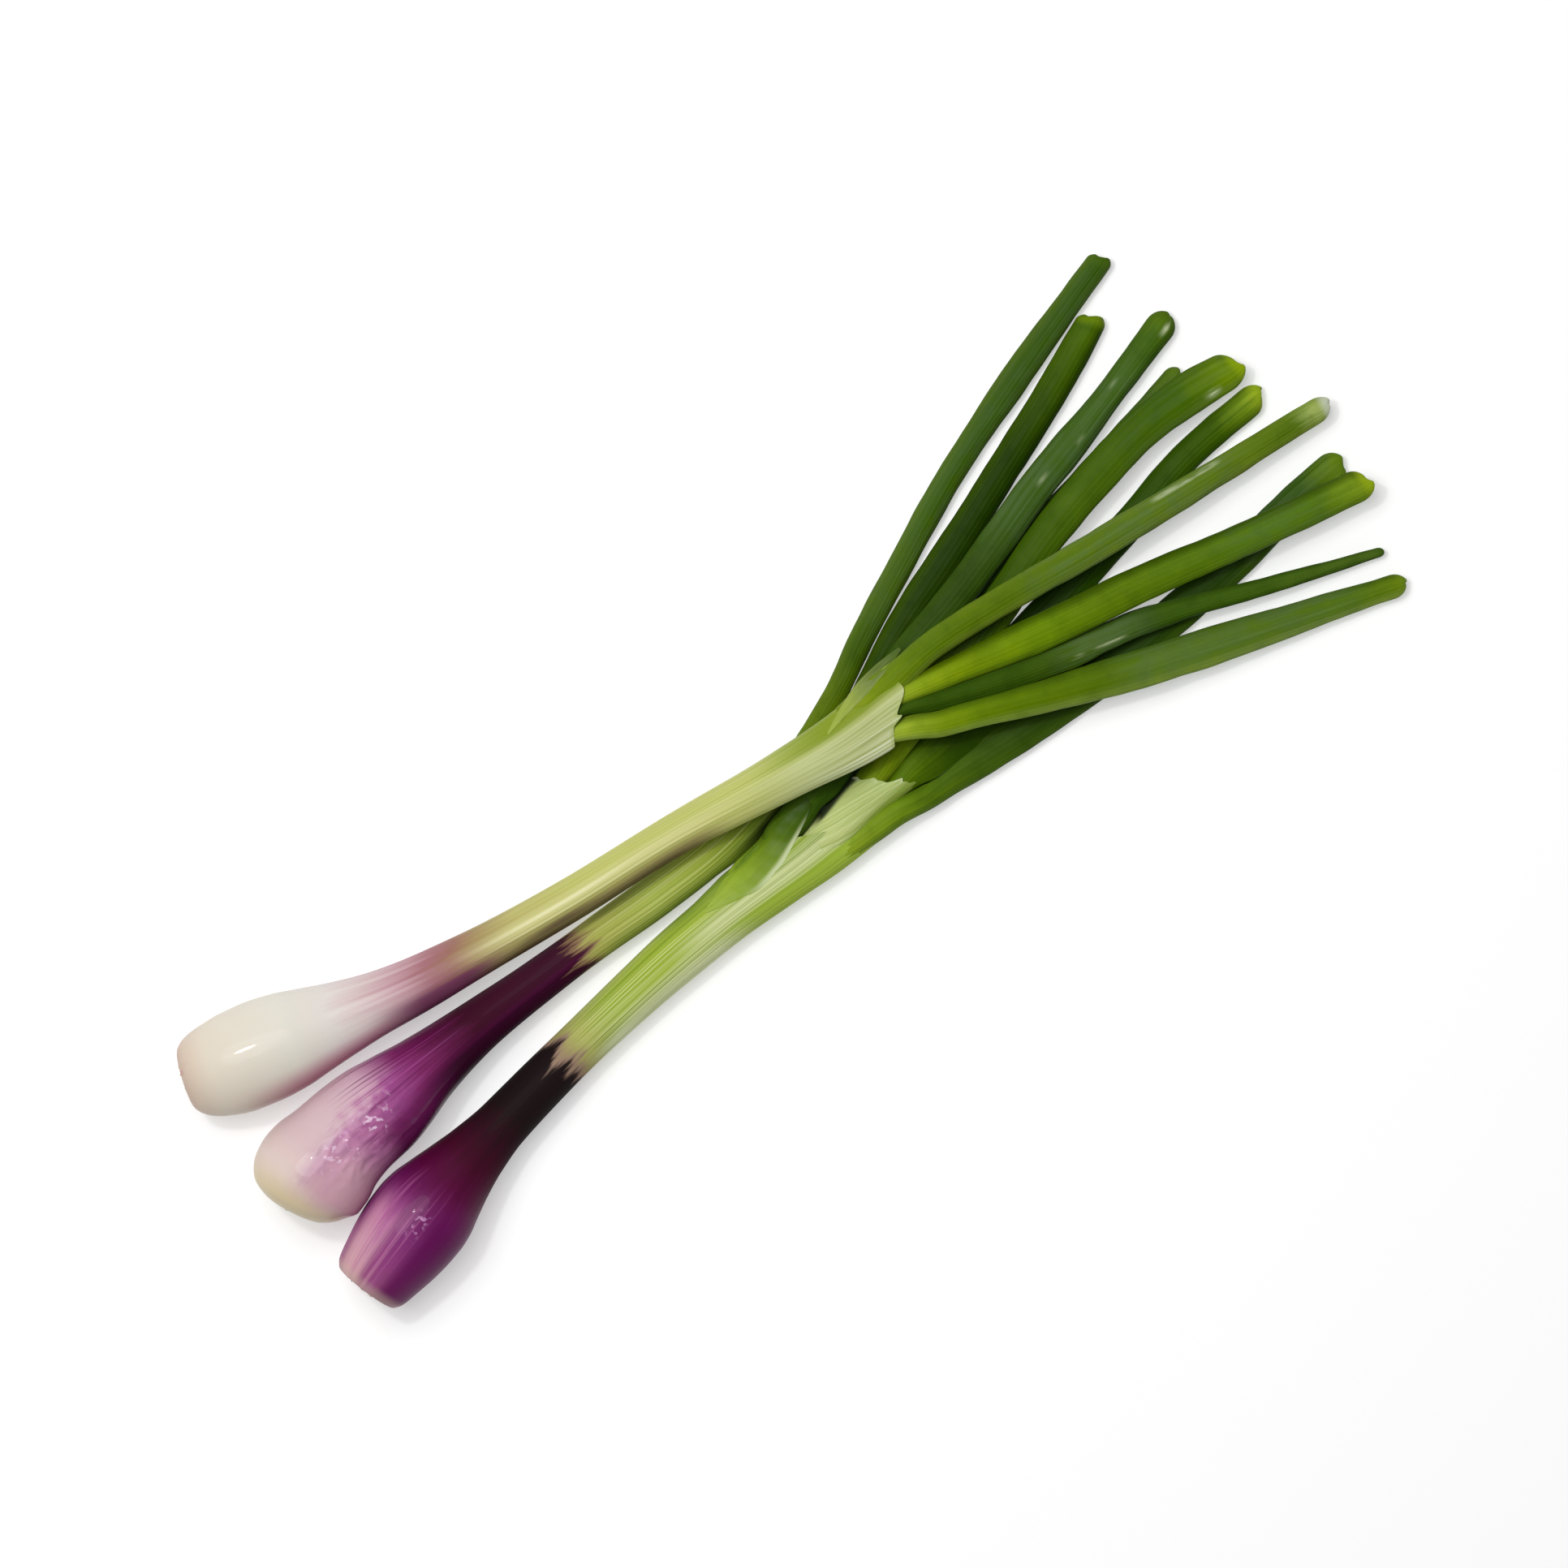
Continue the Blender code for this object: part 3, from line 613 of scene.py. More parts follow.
RIGHT_ONION = dict(
    route=[(-159.1, -29.0, 11.5), (-148, -26.3, 12.0), (-138, -24.0, 12.1), (-126, -21.6, 10.8),
           (-112, -19.4, 9.0), (-95, -17.2, 7.6), (-70, -14.9, 6.5), (-47, -13.6, 6.2),
           (-35, -13.5, 6.1), (-23, -13.8, 6.0), (-13, -14.1, 5.9), (1, -14.1, 5.8)],
    half_width=[(0, 8.3), (2, 9.7), (7, 10.9), (13, 12.0), (18, 12.5), (22, 12.6), (26, 12.2),
                (31, 10.9), (37, 9.3), (44, 7.8), (53, 6.7), (67, 6.4), (80, 6.2), (100, 6.5),
                (115, 6.9), (125, 7.0), (137, 7.7), (147, 8.5), (155, 9.0), (161, 9.5)],
    flatness=[(0, 1.0), (60, 1.0), (110, 0.93), (130, 0.76), (146, 0.54), (161, 0.40)],
    mouth_slant=-16.0,
    slant_run=50,
    pocket_depth=22,
)


def right_relief(at, turns):
    swell = 0.10 * np.sin(2 * turns + 1.0 + at * 0.05) * ease(at / 20)
    return swell + ribs(turns, 0.06) * ease((at - 60) / 30)


def right_rim(turns):
    return 0.3 * np.sin(5 * turns + 0.6) + 0.15 * np.sin(13 * turns + 2.0)


def right_cling(turns):
    return 0.24 * bump(turns, -0.36, 0.32)


right_skin, right_mouth = grow_bulb_and_shank(
    "right_bulb_and_shank", RIGHT_ONION, right_relief, right_rim, right_cling)

purple = Finish("purple_onion_skin", Subsurface_Weight=0.06, Subsurface_Scale=0.002,
                Subsurface_Radius=(1.0, 0.5, 0.5), Specular_IOR_Level=0.08, Coat_Roughness=0.06)
side, along = purple.side, purple.along
fingers = purple.streaks(4.5, 0.03, 11.0, 3.0)
fine = purple.streaks(11, 0.006, 7.0, 3.0)
hair = purple.streaks(28, 0.012, 12.0)
dyed = purple.ramp(along + (fingers - 0.5) * 12, 90, [
    (0, (144, 78, 118)), (8, (140, 62, 120)), (16, (124, 46, 110)),
    (24, (104, 24, 86)), (32, (84, 8, 56)), (40, (64, 5, 34)),
    (48, (44, 10, 24)), (56, (27, 15, 17)), (90, (26, 16, 17))])
washed = purple.ramp(along, 40, [
    (0, (208, 168, 166)), (10, (206, 158, 172)), (17, (194, 134, 164)),
    (24, (160, 84, 138)), (40, (90, 20, 70))])
patch = ((side + (fingers - 0.5) * 1.2 + (fine - 0.5) * 1.2).rise(-0.05, 0.7)
         * side.rise(0.99, 0.74) * (along + (fingers - 0.5) * 16).rise(27, 17))
green = purple.ramp(along, 170, [
    (74, (150, 132, 96)), (81, (166, 168, 92)), (92, (161, 178, 76)),
    (110, (158, 178, 62)), (132, (156, 176, 64)), (150, (144, 168, 56)),
    (170, (126, 150, 42))])
fringe = (along + (purple.streaks(2.2, 0.05, 14.0, 1.0) - 0.5) * 15
          + (purple.streaks(9, 0.16, 17.0, 2.0) - 0.5) * 9).rise(71, 80)
shank = along.rise(76, 88)
pale = (along.rise(82, 98) * side.rise(-0.2, -0.6) * along.rise(136, 112)
        + along.rise(108, 126) * side.within(-0.32, 0.26, 0.2))
# Painted glints: small pale spots near the top of the bulb.
painted_glints = (purple.grain(1.5, 2.0).rise(0.52, 0.64) * along.within(18, 23, 2)
           * side.within(-0.16, 0.06, 0.1))
dull = along.rise(28, 46)
colour = purple.layers(dyed, [
    (washed, patch * 0.9),
    ((138, 56, 112), fine.rise(0.48, 0.36) * patch * 0.6),
    ((156, 70, 138), fingers.rise(0.5, 0.66) * along.rise(30, 18) * side.rise(-0.5, -0.1) * 0.5),
    ((176, 96, 150), fine.rise(0.54, 0.66) * side.rise(-0.4, 0.0) * along.rise(34, 22) * 0.45),
    # Darker magenta on the right side of the bulb: partly pigment, partly painted shade.
    ((94, 9, 78), side.rise(-0.08, -0.5) * along.rise(30, 20) * 0.85),
    ((196, 168, 158), along.rise(3.5, 0.5) * 0.5),
    ((158, 130, 112), fringe.rise(0.0, 0.5) * 0.85),
    (green, fringe.rise(0.3, 1.0)),
    ((232, 238, 204), along.within(84, 124, 8) * side.rise(-0.4, -0.9) * 0.8),
    ((206, 212, 158), pale * 0.75),
    ((212, 218, 162), fine.rise(0.52, 0.66) * shank * 0.4),
    ((116, 142, 30), fine.rise(0.48, 0.34) * shank * 0.6),
    ((108, 134, 30), hair.rise(0.45, 0.33) * shank * 0.6),
    ((222, 228, 176), hair.rise(0.56, 0.66) * shank * 0.35),
    ((150, 176, 56), side.rise(-0.3, -0.62) * along.rise(120, 136) * 0.85),
    ((120, 146, 46), side.rise(0.55, 0.95) * along.rise(106, 122) * 0.85),
    ((100, 130, 34), side.rise(0.35, 0.75) * along.rise(134, 150) * 0.9),
    ((70, 90, 30), purple.hidden * along.rise(90, 100) * 0.9),
    # The painted glints.
    ((214, 160, 208), painted_glints * 0.7),
])
right_material = purple.complete(colour, 0.38 + hair * 0.14 + dull * 0.3,
                                 fine * shank + hair * 0.4, 0.07, 0.08 - dull * 0.07)
dress(right_skin, right_material, "right_onion_bulb_and_shank")

# The root plates: the hard cream disc at each bulb's foot that the roots grew from. The roots
# were pulled and cut off there, which leaves rings of short corky stubs. Each disc sits in
# the recess of its bulb's cut end.

PLATE_GAP = 0.3
PLATE_SIDES = 48
PLATE_BANDS = [(-0.05, 0.12), (-0.03, 0.3), (0.02, 0.5), (0.1, 0.7), (0.22, 0.86), (0.38, 0.97),
               (0.6, 1.0), (ROOT_RECESS - PLATE_GAP, 1.0)]
STUB_SPACING = 1.15
STUB_LENGTH = 0.55
STUB_RADIUS = 0.42
STUB_TOP = 0.22
STUB_DENSITY = 3e6
FACES_OUT = 0.8

stub_tree = bpy.data.node_groups.new("root_stubs", "GeometryNodeTree")


def tree_inputs(tree, sockets):
    """Names the tree's inputs, and returns the identifier of each."""
    tree.interface.new_socket("Geometry", in_out="INPUT", socket_type="NodeSocketGeometry")
    found = {label: tree.interface.new_socket(label, in_out="INPUT", socket_type=kind).identifier
             for label, kind in sockets.items()}
    tree.interface.new_socket("Geometry", in_out="OUTPUT", socket_type="NodeSocketGeometry")
    return found


class Wiring:
    """Adds nodes to a geometry tree, and closes it."""

    def __init__(self, tree):
        self.tree = tree
        self.given = tree.nodes.new("NodeGroupInput")

    def node(self, kind, settings=None, inputs=(), output=0):
        return add_node(self.tree, kind, settings, inputs).outputs[output]

    def end(self, geometry):
        """Realizes instances, sets the material and closes the tree."""
        whole = self.node("GeometryNodeRealizeInstances", {}, [geometry])
        painted = self.node("GeometryNodeSetMaterial", {},
                            {"Geometry": whole, "Material": self.given.outputs["Material"]})
        out = self.tree.nodes.new("NodeGroupOutput")
        self.tree.links.new(painted, out.inputs[0])


def run_tree(thing, tree, inputs, values):
    """Runs a tree on an object and keeps the result as its plain mesh."""
    modifier = thing.modifiers.new(tree.name, "NODES")
    modifier.node_group = tree
    for label, value in values.items():
        modifier[inputs[label]] = value
    bpy.context.view_layer.update()
    whole = thing.evaluated_get(bpy.context.evaluated_depsgraph_get())
    mesh = bpy.data.meshes.new_from_object(whole)
    mesh.name = thing.name
    thing.modifiers.clear()
    thing.data = mesh


stub_inputs = tree_inputs(stub_tree, {
    "Spacing": "NodeSocketFloat", "Stub Length": "NodeSocketFloat",
    "Stub Radius": "NodeSocketFloat", "Seed": "NodeSocketInt", "Material": "NodeSocketMaterial"})
w = Wiring(stub_tree)
face = w.node("GeometryNodeInputNamedAttribute", {"data_type": "FLOAT"}, ["bears_roots"])
spots = w.node("GeometryNodeDistributePointsOnFaces", {"distribute_method": "POISSON"}, {
    "Mesh": w.given.outputs["Geometry"], "Selection": face,
    "Distance Min": w.given.outputs["Spacing"], "Density Max": STUB_DENSITY, "Density Factor": 1.0,
    "Seed": w.given.outputs["Seed"]})
turned = spots.node.outputs["Rotation"]
stub = w.node("GeometryNodeMeshCone", {"fill_type": "TRIANGLE_FAN"}, {
    "Vertices": 8, "Side Segments": 2, "Radius Top": STUB_TOP * MM,
    "Radius Bottom": w.given.outputs["Stub Radius"], "Depth": w.given.outputs["Stub Length"]})
tall = w.node("FunctionNodeRandomValue", {"data_type": "FLOAT_VECTOR"}, {
    "Min": (0.7, 0.7, 0.5), "Max": (1.25, 1.25, 1.4), "Seed": w.given.outputs["Seed"]})
stubs = w.node("GeometryNodeInstanceOnPoints", {}, {
    "Points": spots, "Instance": stub, "Rotation": turned, "Scale": tall})
joined = w.node("GeometryNodeJoinGeometry", {}, [stubs])
stub_tree.links.new(w.given.outputs["Geometry"], joined.node.inputs[0])
w.end(joined)

cork = Finish("corky_root_plate", Specular_IOR_Level=0.3)
speck = cork.grain(0.6, 4.0)
blotch = cork.grain(2.5, 3.0)
colour = cork.layers((214, 192, 150), [
    ((150, 112, 70), blotch.rise(0.42, 0.7)),
    ((96, 66, 44), speck.rise(0.58, 0.72) * 0.6),
    ((232, 216, 184), speck.rise(0.42, 0.3) * 0.5),
])
cork_material = cork.complete(colour, 0.7 + speck * 0.2, speck + blotch, 0.25)

for number, (name, onion, route) in enumerate((
        ("left", LEFT_ONION, left_mouth), ("middle", MIDDLE_ONION, middle_mouth),
        ("right", RIGHT_ONION, right_mouth))):
    radius = smooth_value(onion["half_width"], 0) - ROOT_RIM - PLATE_GAP
    turns = ring_turns(PLATE_SIDES)
    rows = section_stack(route, PLATE_BANDS, turns, lambda band, turns: (
        radius * band[1] * np.cos(turns) * (1 + 0.02 * np.sin(5 * turns)),
        radius * band[1] * np.sin(turns) * (1 + 0.02 * np.sin(5 * turns)), 0 * turns))
    flow = ring_values(turns, [(np.cos(turns), np.sin(turns), at) for at, _ in PLATE_BANDS])
    plate = skin_object(name + "_root_plate", rows, flow, flow)
    bears = plate.data.attributes.new("bears_roots", "FLOAT", "FACE")
    for face_number, face in enumerate(plate.data.polygons):
        towards = face.normal.dot(-route.frame(0)[1])
        bears.data[face_number].value = float(towards > FACES_OUT)
    run_tree(plate, stub_tree, stub_inputs, {
        "Spacing": STUB_SPACING * MM, "Stub Length": STUB_LENGTH * MM,
        "Stub Radius": STUB_RADIUS * MM, "Seed": 5 + number, "Material": cork_material})
    dress(plate, cork_material, name + "_onion_root_plate")

# The right onion's inner sheath: the next leaf's pale foot, a thin flattened tube that comes
# out of the outer sheath's slant and opens into a papery white edge with two small lobes.

INNER_SHEATH = dict(
    seat=[(-21.2, -0.5, 0.2), (-9, -0.6, 0.3)],
    route=[(1, -14.9, 6.2), (12, -13.5, 6.2), (19, -12.9, 6.3)],
    half_width=[(0, 3.1), (12, 4.4), (20, 5.0), (27, 5.2), (34, 5.4), (40, 5.7)],
    half_height=[(0, 3.0), (12, 3.3), (20, 3.5), (27, 3.4), (34, 3.1), (40, 2.7)],
    mouth_slant=-5.5,
    slant_run=14,
    pocket_depth=9,
    left_hem=[(12, 0.0), (20, 2.0), (30, 3.4), (40, 3.0)],
)
SHEATH_SIDES = 128
SHEATH_RINGS = 90
INNER_EDGE = 0.22
INNER_THICKENING = 0.55


def seated_route(seat, points, mouth):
    """A line that starts in a mouth, at the piece's seat, and goes on by its own points."""
    start = [mouth.place(mouth.length + ahead, across, lift) for ahead, across, lift in seat]
    return Route(start + points)


inner_mouth = seated_route(INNER_SHEATH["seat"], INNER_SHEATH["route"], right_mouth)
turns = ring_turns(SHEATH_SIDES)
lobes = (1.6 * np.exp(-((np.cos(turns) + 0.35) / 0.10) ** 2)
         + 1.2 * np.exp(-((np.cos(turns) - 0.45) / 0.12) ** 2) + 0.25 * np.sin(15 * turns))
stations = [(inner_mouth.length * step / SHEATH_RINGS, 0.0, 0.0)
            for step in range(SHEATH_RINGS + 1)]
stations += [(inner_mouth.length - INNER_SHEATH["pocket_depth"] * share,
              INNER_EDGE + INNER_THICKENING * min(share * 3, 1), share)
             for share in (0.0, 0.08, 0.2, 0.5, 1.0)]


def inner_shape(station, turns):
    at, wall, share = station
    run = INNER_SHEATH["slant_run"]
    tilt = ease((at - inner_mouth.length + run) / run) if wall == 0.0 else 1 - share
    wide = smooth_value(INNER_SHEATH["half_width"], at) - wall
    high = smooth_value(INNER_SHEATH["half_height"], at) - wall
    out = ribs(turns, 0.05) if wall == 0.0 else 0.0
    hem = smooth_value(INNER_SHEATH["left_hem"], at) * hem_share(np.cos(turns), np.sin(turns))
    return ((wide + out) * np.cos(turns) + hem, (high + out) * np.sin(turns),
            (INNER_SHEATH["mouth_slant"] * np.cos(turns) + lobes) * tilt)


rows = section_stack(inner_mouth, stations, turns, inner_shape)
flow = ring_values(turns, [(np.cos(turns), np.sin(turns), at) for at, _, _ in stations])
reach = ring_values(turns, [(at, inner_mouth.length - at, wall) for at, wall, _ in stations])
inner_sheath = skin_object("right_inner_sheath", rows, flow, reach)

VEIN_TWIST = -0.05

papery = Finish("papery_sheath", Subsurface_Weight=0.1, Subsurface_Scale=0.002,
                Specular_IOR_Level=0.12)
side, top, along = papery.side, papery.top, papery.along
fine = papery.streaks(10, 0.01, 2.0, 3.0, VEIN_TWIST)
hair = papery.streaks(26, 0.02, 5.0, 2.0, VEIN_TWIST)
colour = papery.ramp(along, 42, [
    (0, (160, 174, 84)), (14, (184, 194, 126)), (22, (184, 196, 124)),
    (32, (172, 186, 112)), (42, (176, 192, 120))])
shaded = side.rise(0.3, 0.6) * top.rise(0.66, 0.46) * along.rise(17, 22)
colour = papery.layers(colour, [
    ((136, 154, 62), fine.rise(0.48, 0.34) * 0.45),
    ((214, 220, 168), fine.rise(0.54, 0.68) * 0.4),
    ((122, 146, 40), side.rise(-0.35, -0.75) * 0.8),
    # Darker along the far left edge: painted shade.
    ((92, 112, 40), side.rise(0.8, 0.98) * 0.5),
    # Painted shade: near black on the left hem, in the slit beside the first leaf, with a painted
    # grey-blue glint in it.
    ((14, 24, 8), shaded * 0.96),
    ((112, 132, 134), shaded * along.within(23, 32, 3) * top.within(0.0, 0.2, 0.1) * 0.7),
    ((214, 222, 178), papery.to_end.rise(1.3, 0.2) * papery.grain(2.0).rise(0.44, 0.6) * 0.6),
    ((100, 124, 30), papery.hidden.rise(0.1, 0.3) * 0.9),
])
papery_material = papery.complete(colour, 0.4 + hair * 0.15, fine + hair * 0.4, 0.10)
dress(inner_sheath, papery_material, "right_onion_inner_sheath")

# The leaf blades: hollow green tubes, a little flattened, that narrow where they leave their
# sheath and were cut across at the tip, so that the wall shows there as a bright lip.

LEAF_WALL = 0.5
LEAF_HOLLOW = 12.0
CUT_RUN = 7.0
BLADE_SIDES = 112
BLADE_STEP = 1.0
BLADE_RIBS = 22.0
RIB_HEIGHT = 0.035
DENT_DEPTH = 0.5
DENT_SIZE = 9
TIP_SHARES = (0.2, 0.38, 0.54, 0.68, 0.8, 0.89, 0.95, 0.985, 1.0)
BORE_SHARES = (0.0, 0.05, 0.15, 0.4, 0.7, 1.0)

blade_tree = bpy.data.node_groups.new("leaf_blade", "GeometryNodeTree")
blade_inputs = tree_inputs(blade_tree, {
    "Sides": "NodeSocketInt", "Rib Count": "NodeSocketFloat", "Rib Height": "NodeSocketFloat",
    "Dent Depth": "NodeSocketFloat", "Dent Size": "NodeSocketFloat",
    "Cut Slant": "NodeSocketFloat", "Cut Waves": "NodeSocketFloat",
    "Seed": "NodeSocketFloat", "Material": "NodeSocketMaterial"})
w = Wiring(blade_tree)


def held(label, kind="FLOAT"):
    return w.node("GeometryNodeInputNamedAttribute", {"data_type": kind}, [label])


def sums(operation, *values):
    return w.node("ShaderNodeMath", {"operation": operation}, values)


def vectors(operation, inputs, output=0):
    return w.node("ShaderNodeVectorMath", {"operation": operation}, inputs, output)


line = w.node("GeometryNodeMeshToCurve", {}, [w.given.outputs["Geometry"]])
loop = w.node("GeometryNodeCurvePrimitiveCircle", {"mode": "RADIUS"},
              {"Resolution": w.given.outputs["Sides"], "Radius": MM})
share = w.node("GeometryNodeSplineParameter")
turn_now = sums("MULTIPLY", share, math.tau)
loop = w.node("GeometryNodeStoreNamedAttribute", {"data_type": "FLOAT", "domain": "POINT"},
              {"Geometry": loop, "Name": "turn", "Value": turn_now})
tube = w.node("GeometryNodeCurveToMesh", {},
              {"Curve": line, "Profile Curve": loop, "Fill Caps": True})
turn = held("turn")
side = sums("COSINE", turn)
top = sums("SINE", turn)
rib = sums("MULTIPLY", sums("SINE", sums("MULTIPLY", turn, w.given.outputs["Rib Count"])),
           w.given.outputs["Rib Height"])
middle = held("middle", "FLOAT_VECTOR")
dents = w.node("ShaderNodeTexNoise", {}, {
    "Vector": vectors("ADD", [
        vectors("SCALE", {0: middle, "Scale": sums("DIVIDE", 1.0, w.given.outputs["Dent Size"])}),
        w.node("ShaderNodeCombineXYZ", {}, [w.given.outputs["Seed"], side, top])]),
    "Scale": 1.0, "Detail": 1.0})
dent = sums("MULTIPLY", sums("SUBTRACT", dents, 0.5), w.given.outputs["Dent Depth"])
grown = sums("MULTIPLY", sums("ADD", rib, dent), held("outside"))
low_down = sums("MULTIPLY", sums("SUBTRACT", 1.0, top), HEM_FULLNESS)
right_hem = sums("MULTIPLY", held("right_hem"), sums("MAXIMUM", sums("MULTIPLY", side, -1.0), 0.0))
left_hem = sums("MULTIPLY", held("left_hem"), sums("MAXIMUM", side, 0.0))
across = sums("ADD", sums("MULTIPLY", sums("ADD", held("half_width"), grown), side),
              sums("MULTIPLY", sums("SUBTRACT", left_hem, right_hem), low_down))
lift = sums("MULTIPLY", sums("ADD", held("half_height"), grown), top)
left = held("left", "FLOAT_VECTOR")
up = held("up", "FLOAT_VECTOR")
waves = sums("SINE", sums("ADD", sums("MULTIPLY", turn, 3.0), w.given.outputs["Seed"]))
uneven = sums("ADD", sums("MULTIPLY", side, w.given.outputs["Cut Slant"]),
              sums("MULTIPLY", waves, w.given.outputs["Cut Waves"]))
ahead = sums("MULTIPLY", uneven, held("cut"))
place = vectors("ADD", [
    vectors("ADD", [middle, vectors("SCALE", {0: left, "Scale": across})]),
    vectors("ADD", [vectors("SCALE", {0: up, "Scale": lift}),
                    vectors("SCALE", {0: vectors("CROSS_PRODUCT", [left, up]),
                                      "Scale": ahead})])])
tube = w.node("GeometryNodeSetPosition", {}, {"Geometry": tube, "Position": place})
tube = w.node("GeometryNodeStoreNamedAttribute", {"data_type": "FLOAT_VECTOR", "domain": "POINT"},
              {"Geometry": tube, "Name": "flow",
               "Value": w.node("ShaderNodeCombineXYZ", {}, [side, top, held("distance")])})
tube = w.node("GeometryNodeSetShadeSmooth", {}, {"Geometry": tube})
w.end(tube)


def blade_line(name, route, blade):
    """The line that a blade follows, out to its tip and back inside, with its sizes on it."""
    widths, heights = blade["widths"], blade["heights"]
    tip_run, tip_closing = blade["tip"]
    rings = max(24, round(route.length / BLADE_STEP))
    reach = route.length - tip_run
    stations = [(reach * step / rings, 0.0) for step in range(rings + 1)]
    stations += [(reach + tip_run * share, 0.0) for share in TIP_SHARES]
    if blade.get("hollow", True):
        stations += [(route.length - LEAF_HOLLOW * share, LEAF_WALL) for share in BORE_SHARES]
    mesh = bpy.data.meshes.new(name)
    mesh.from_pydata([route.at(at) * MM for at, _ in stations],
                     [(i, i + 1) for i in range(len(stations) - 1)], [])
    scalars = {"half_width": [], "half_height": [], "distance": [], "outside": [], "cut": [],
               "left_hem": [], "right_hem": []}
    arrows = {"middle": [], "left": [], "up": [], "reach": []}
    for at, wall in stations:
        near_tip = max(0.0, 1 - (route.length - at) / tip_run)
        rounding = math.sqrt(1 - tip_closing * near_tip ** 2)
        middle_point, _, left, up = route.frame(at)
        scalars["half_width"].append((smooth_value(widths, at) * rounding - wall) * MM)
        scalars["half_height"].append((smooth_value(heights, at) * rounding - wall * 0.9) * MM)
        for hem in ("left_hem", "right_hem"):
            scalars[hem].append(0.0 if wall else smooth_value(blade.get(hem, NO_HEM), at) * MM)
        scalars["distance"].append(at)
        scalars["outside"].append(0.0 if wall else 1.0)
        scalars["cut"].append(float(ease(1 - (route.length - at) / CUT_RUN)))
        arrows["middle"].append(middle_point * MM)
        arrows["left"].append(left)
        arrows["up"].append(up)
        arrows["reach"].append(Vector((at, route.length - at, 1.0 if wall else 0.0)))
    for label, values in scalars.items():
        mesh.attributes.new(label, "FLOAT", "POINT").data.foreach_set("value", values)
    for label, values in arrows.items():
        flat = [number for vector in values for number in vector]
        mesh.attributes.new(label, "FLOAT_VECTOR", "POINT").data.foreach_set("vector", flat)
    return set_out(name, mesh)


def blade_finish(blade, seed, length):
    """Green along the blade, veined, with painted shade and light on its sides, waxy bloom, pale
    specks that are painted glints, painted shade over its hems and a cut lip.
    """
    green = Finish(blade["name"], Subsurface_Weight=0.03, Subsurface_Scale=0.001,
                   Specular_IOR_Level=0.04)
    side, along = green.side, green.along
    veins = green.streaks(14, 0.010, seed, 3.0)
    broad = green.streaks(3, 0.02, seed + 4, 2.0)
    hair = green.streaks(34, 0.012, seed + 7)
    mottle = green.grain(5.0, 3.0)
    colour = green.ramp(along + (broad - 0.5) * 10, length, blade["tones"])
    # Painted shade and light on each side of the blade, darker or lighter.
    for sign, (shade, amount) in zip((1, -1), blade["flank_shading"]):
        colour = green.mix(colour, shade, (side * sign).rise(0.3, 0.92) * amount)
    for pattern, tint, amount in ((veins.rise(0.52, 0.74), (1.5, 1.45, 1.2, 1), 0.3),
                                  (veins.rise(0.48, 0.26), (0.6, 0.64, 0.4, 1), 0.35),
                                  (mottle.rise(0.50, 0.72), (0.62, 0.68, 0.4, 1), 0.4),
                                  (mottle.rise(0.48, 0.30), (1.35, 1.25, 1.0, 1), 0.3)):
        colour = green.mix(colour, tint, pattern * amount, "MULTIPLY")
    start, end, amount = blade["bloom"]
    waxy = (along.rise(start, start + 14) * along.rise(end + 14, end)
            * (mottle * 0.6 + broad).rise(0.62, 1.0))
    colour = green.mix(colour, (104, 128, 86), waxy * amount)
    # Painted glints: small pale specks.
    for start, end, low, high, amount in blade.get("glint_flecks", ()):
        glint_fleck = (along.within(start, end, 2.0) * side.within(low, high, 0.12)
                 * green.streaks(3, 0.2, seed + 2, 1.0).rise(0.25, 0.6))
        colour = green.mix(colour, (204, 214, 172), glint_fleck * amount)
    # Painted shade in dark bands low on a side, over the hems; one band is a painted grey-blue
    # glint instead.
    for sign, start, end, rgb, amount in blade.get("shade_and_glint_bands", ()):
        shade = ((side * sign).rise(0.2, 0.45) * green.top.rise(0.3, 0.02)
                 * along.within(start, end, 3))
        colour = green.mix(colour, rgb, shade * amount)
    colour = green.mix(colour, blade["lip"], green.to_end.rise(3.4, 0.6) * 0.7)
    colour = green.mix(colour, (140, 160, 70), green.hidden.rise(0.4, 0.6) * 0.8)
    return green.complete(colour, 0.40 + mottle * 0.16, veins * 0.5 + hair * 0.4, 0.035)


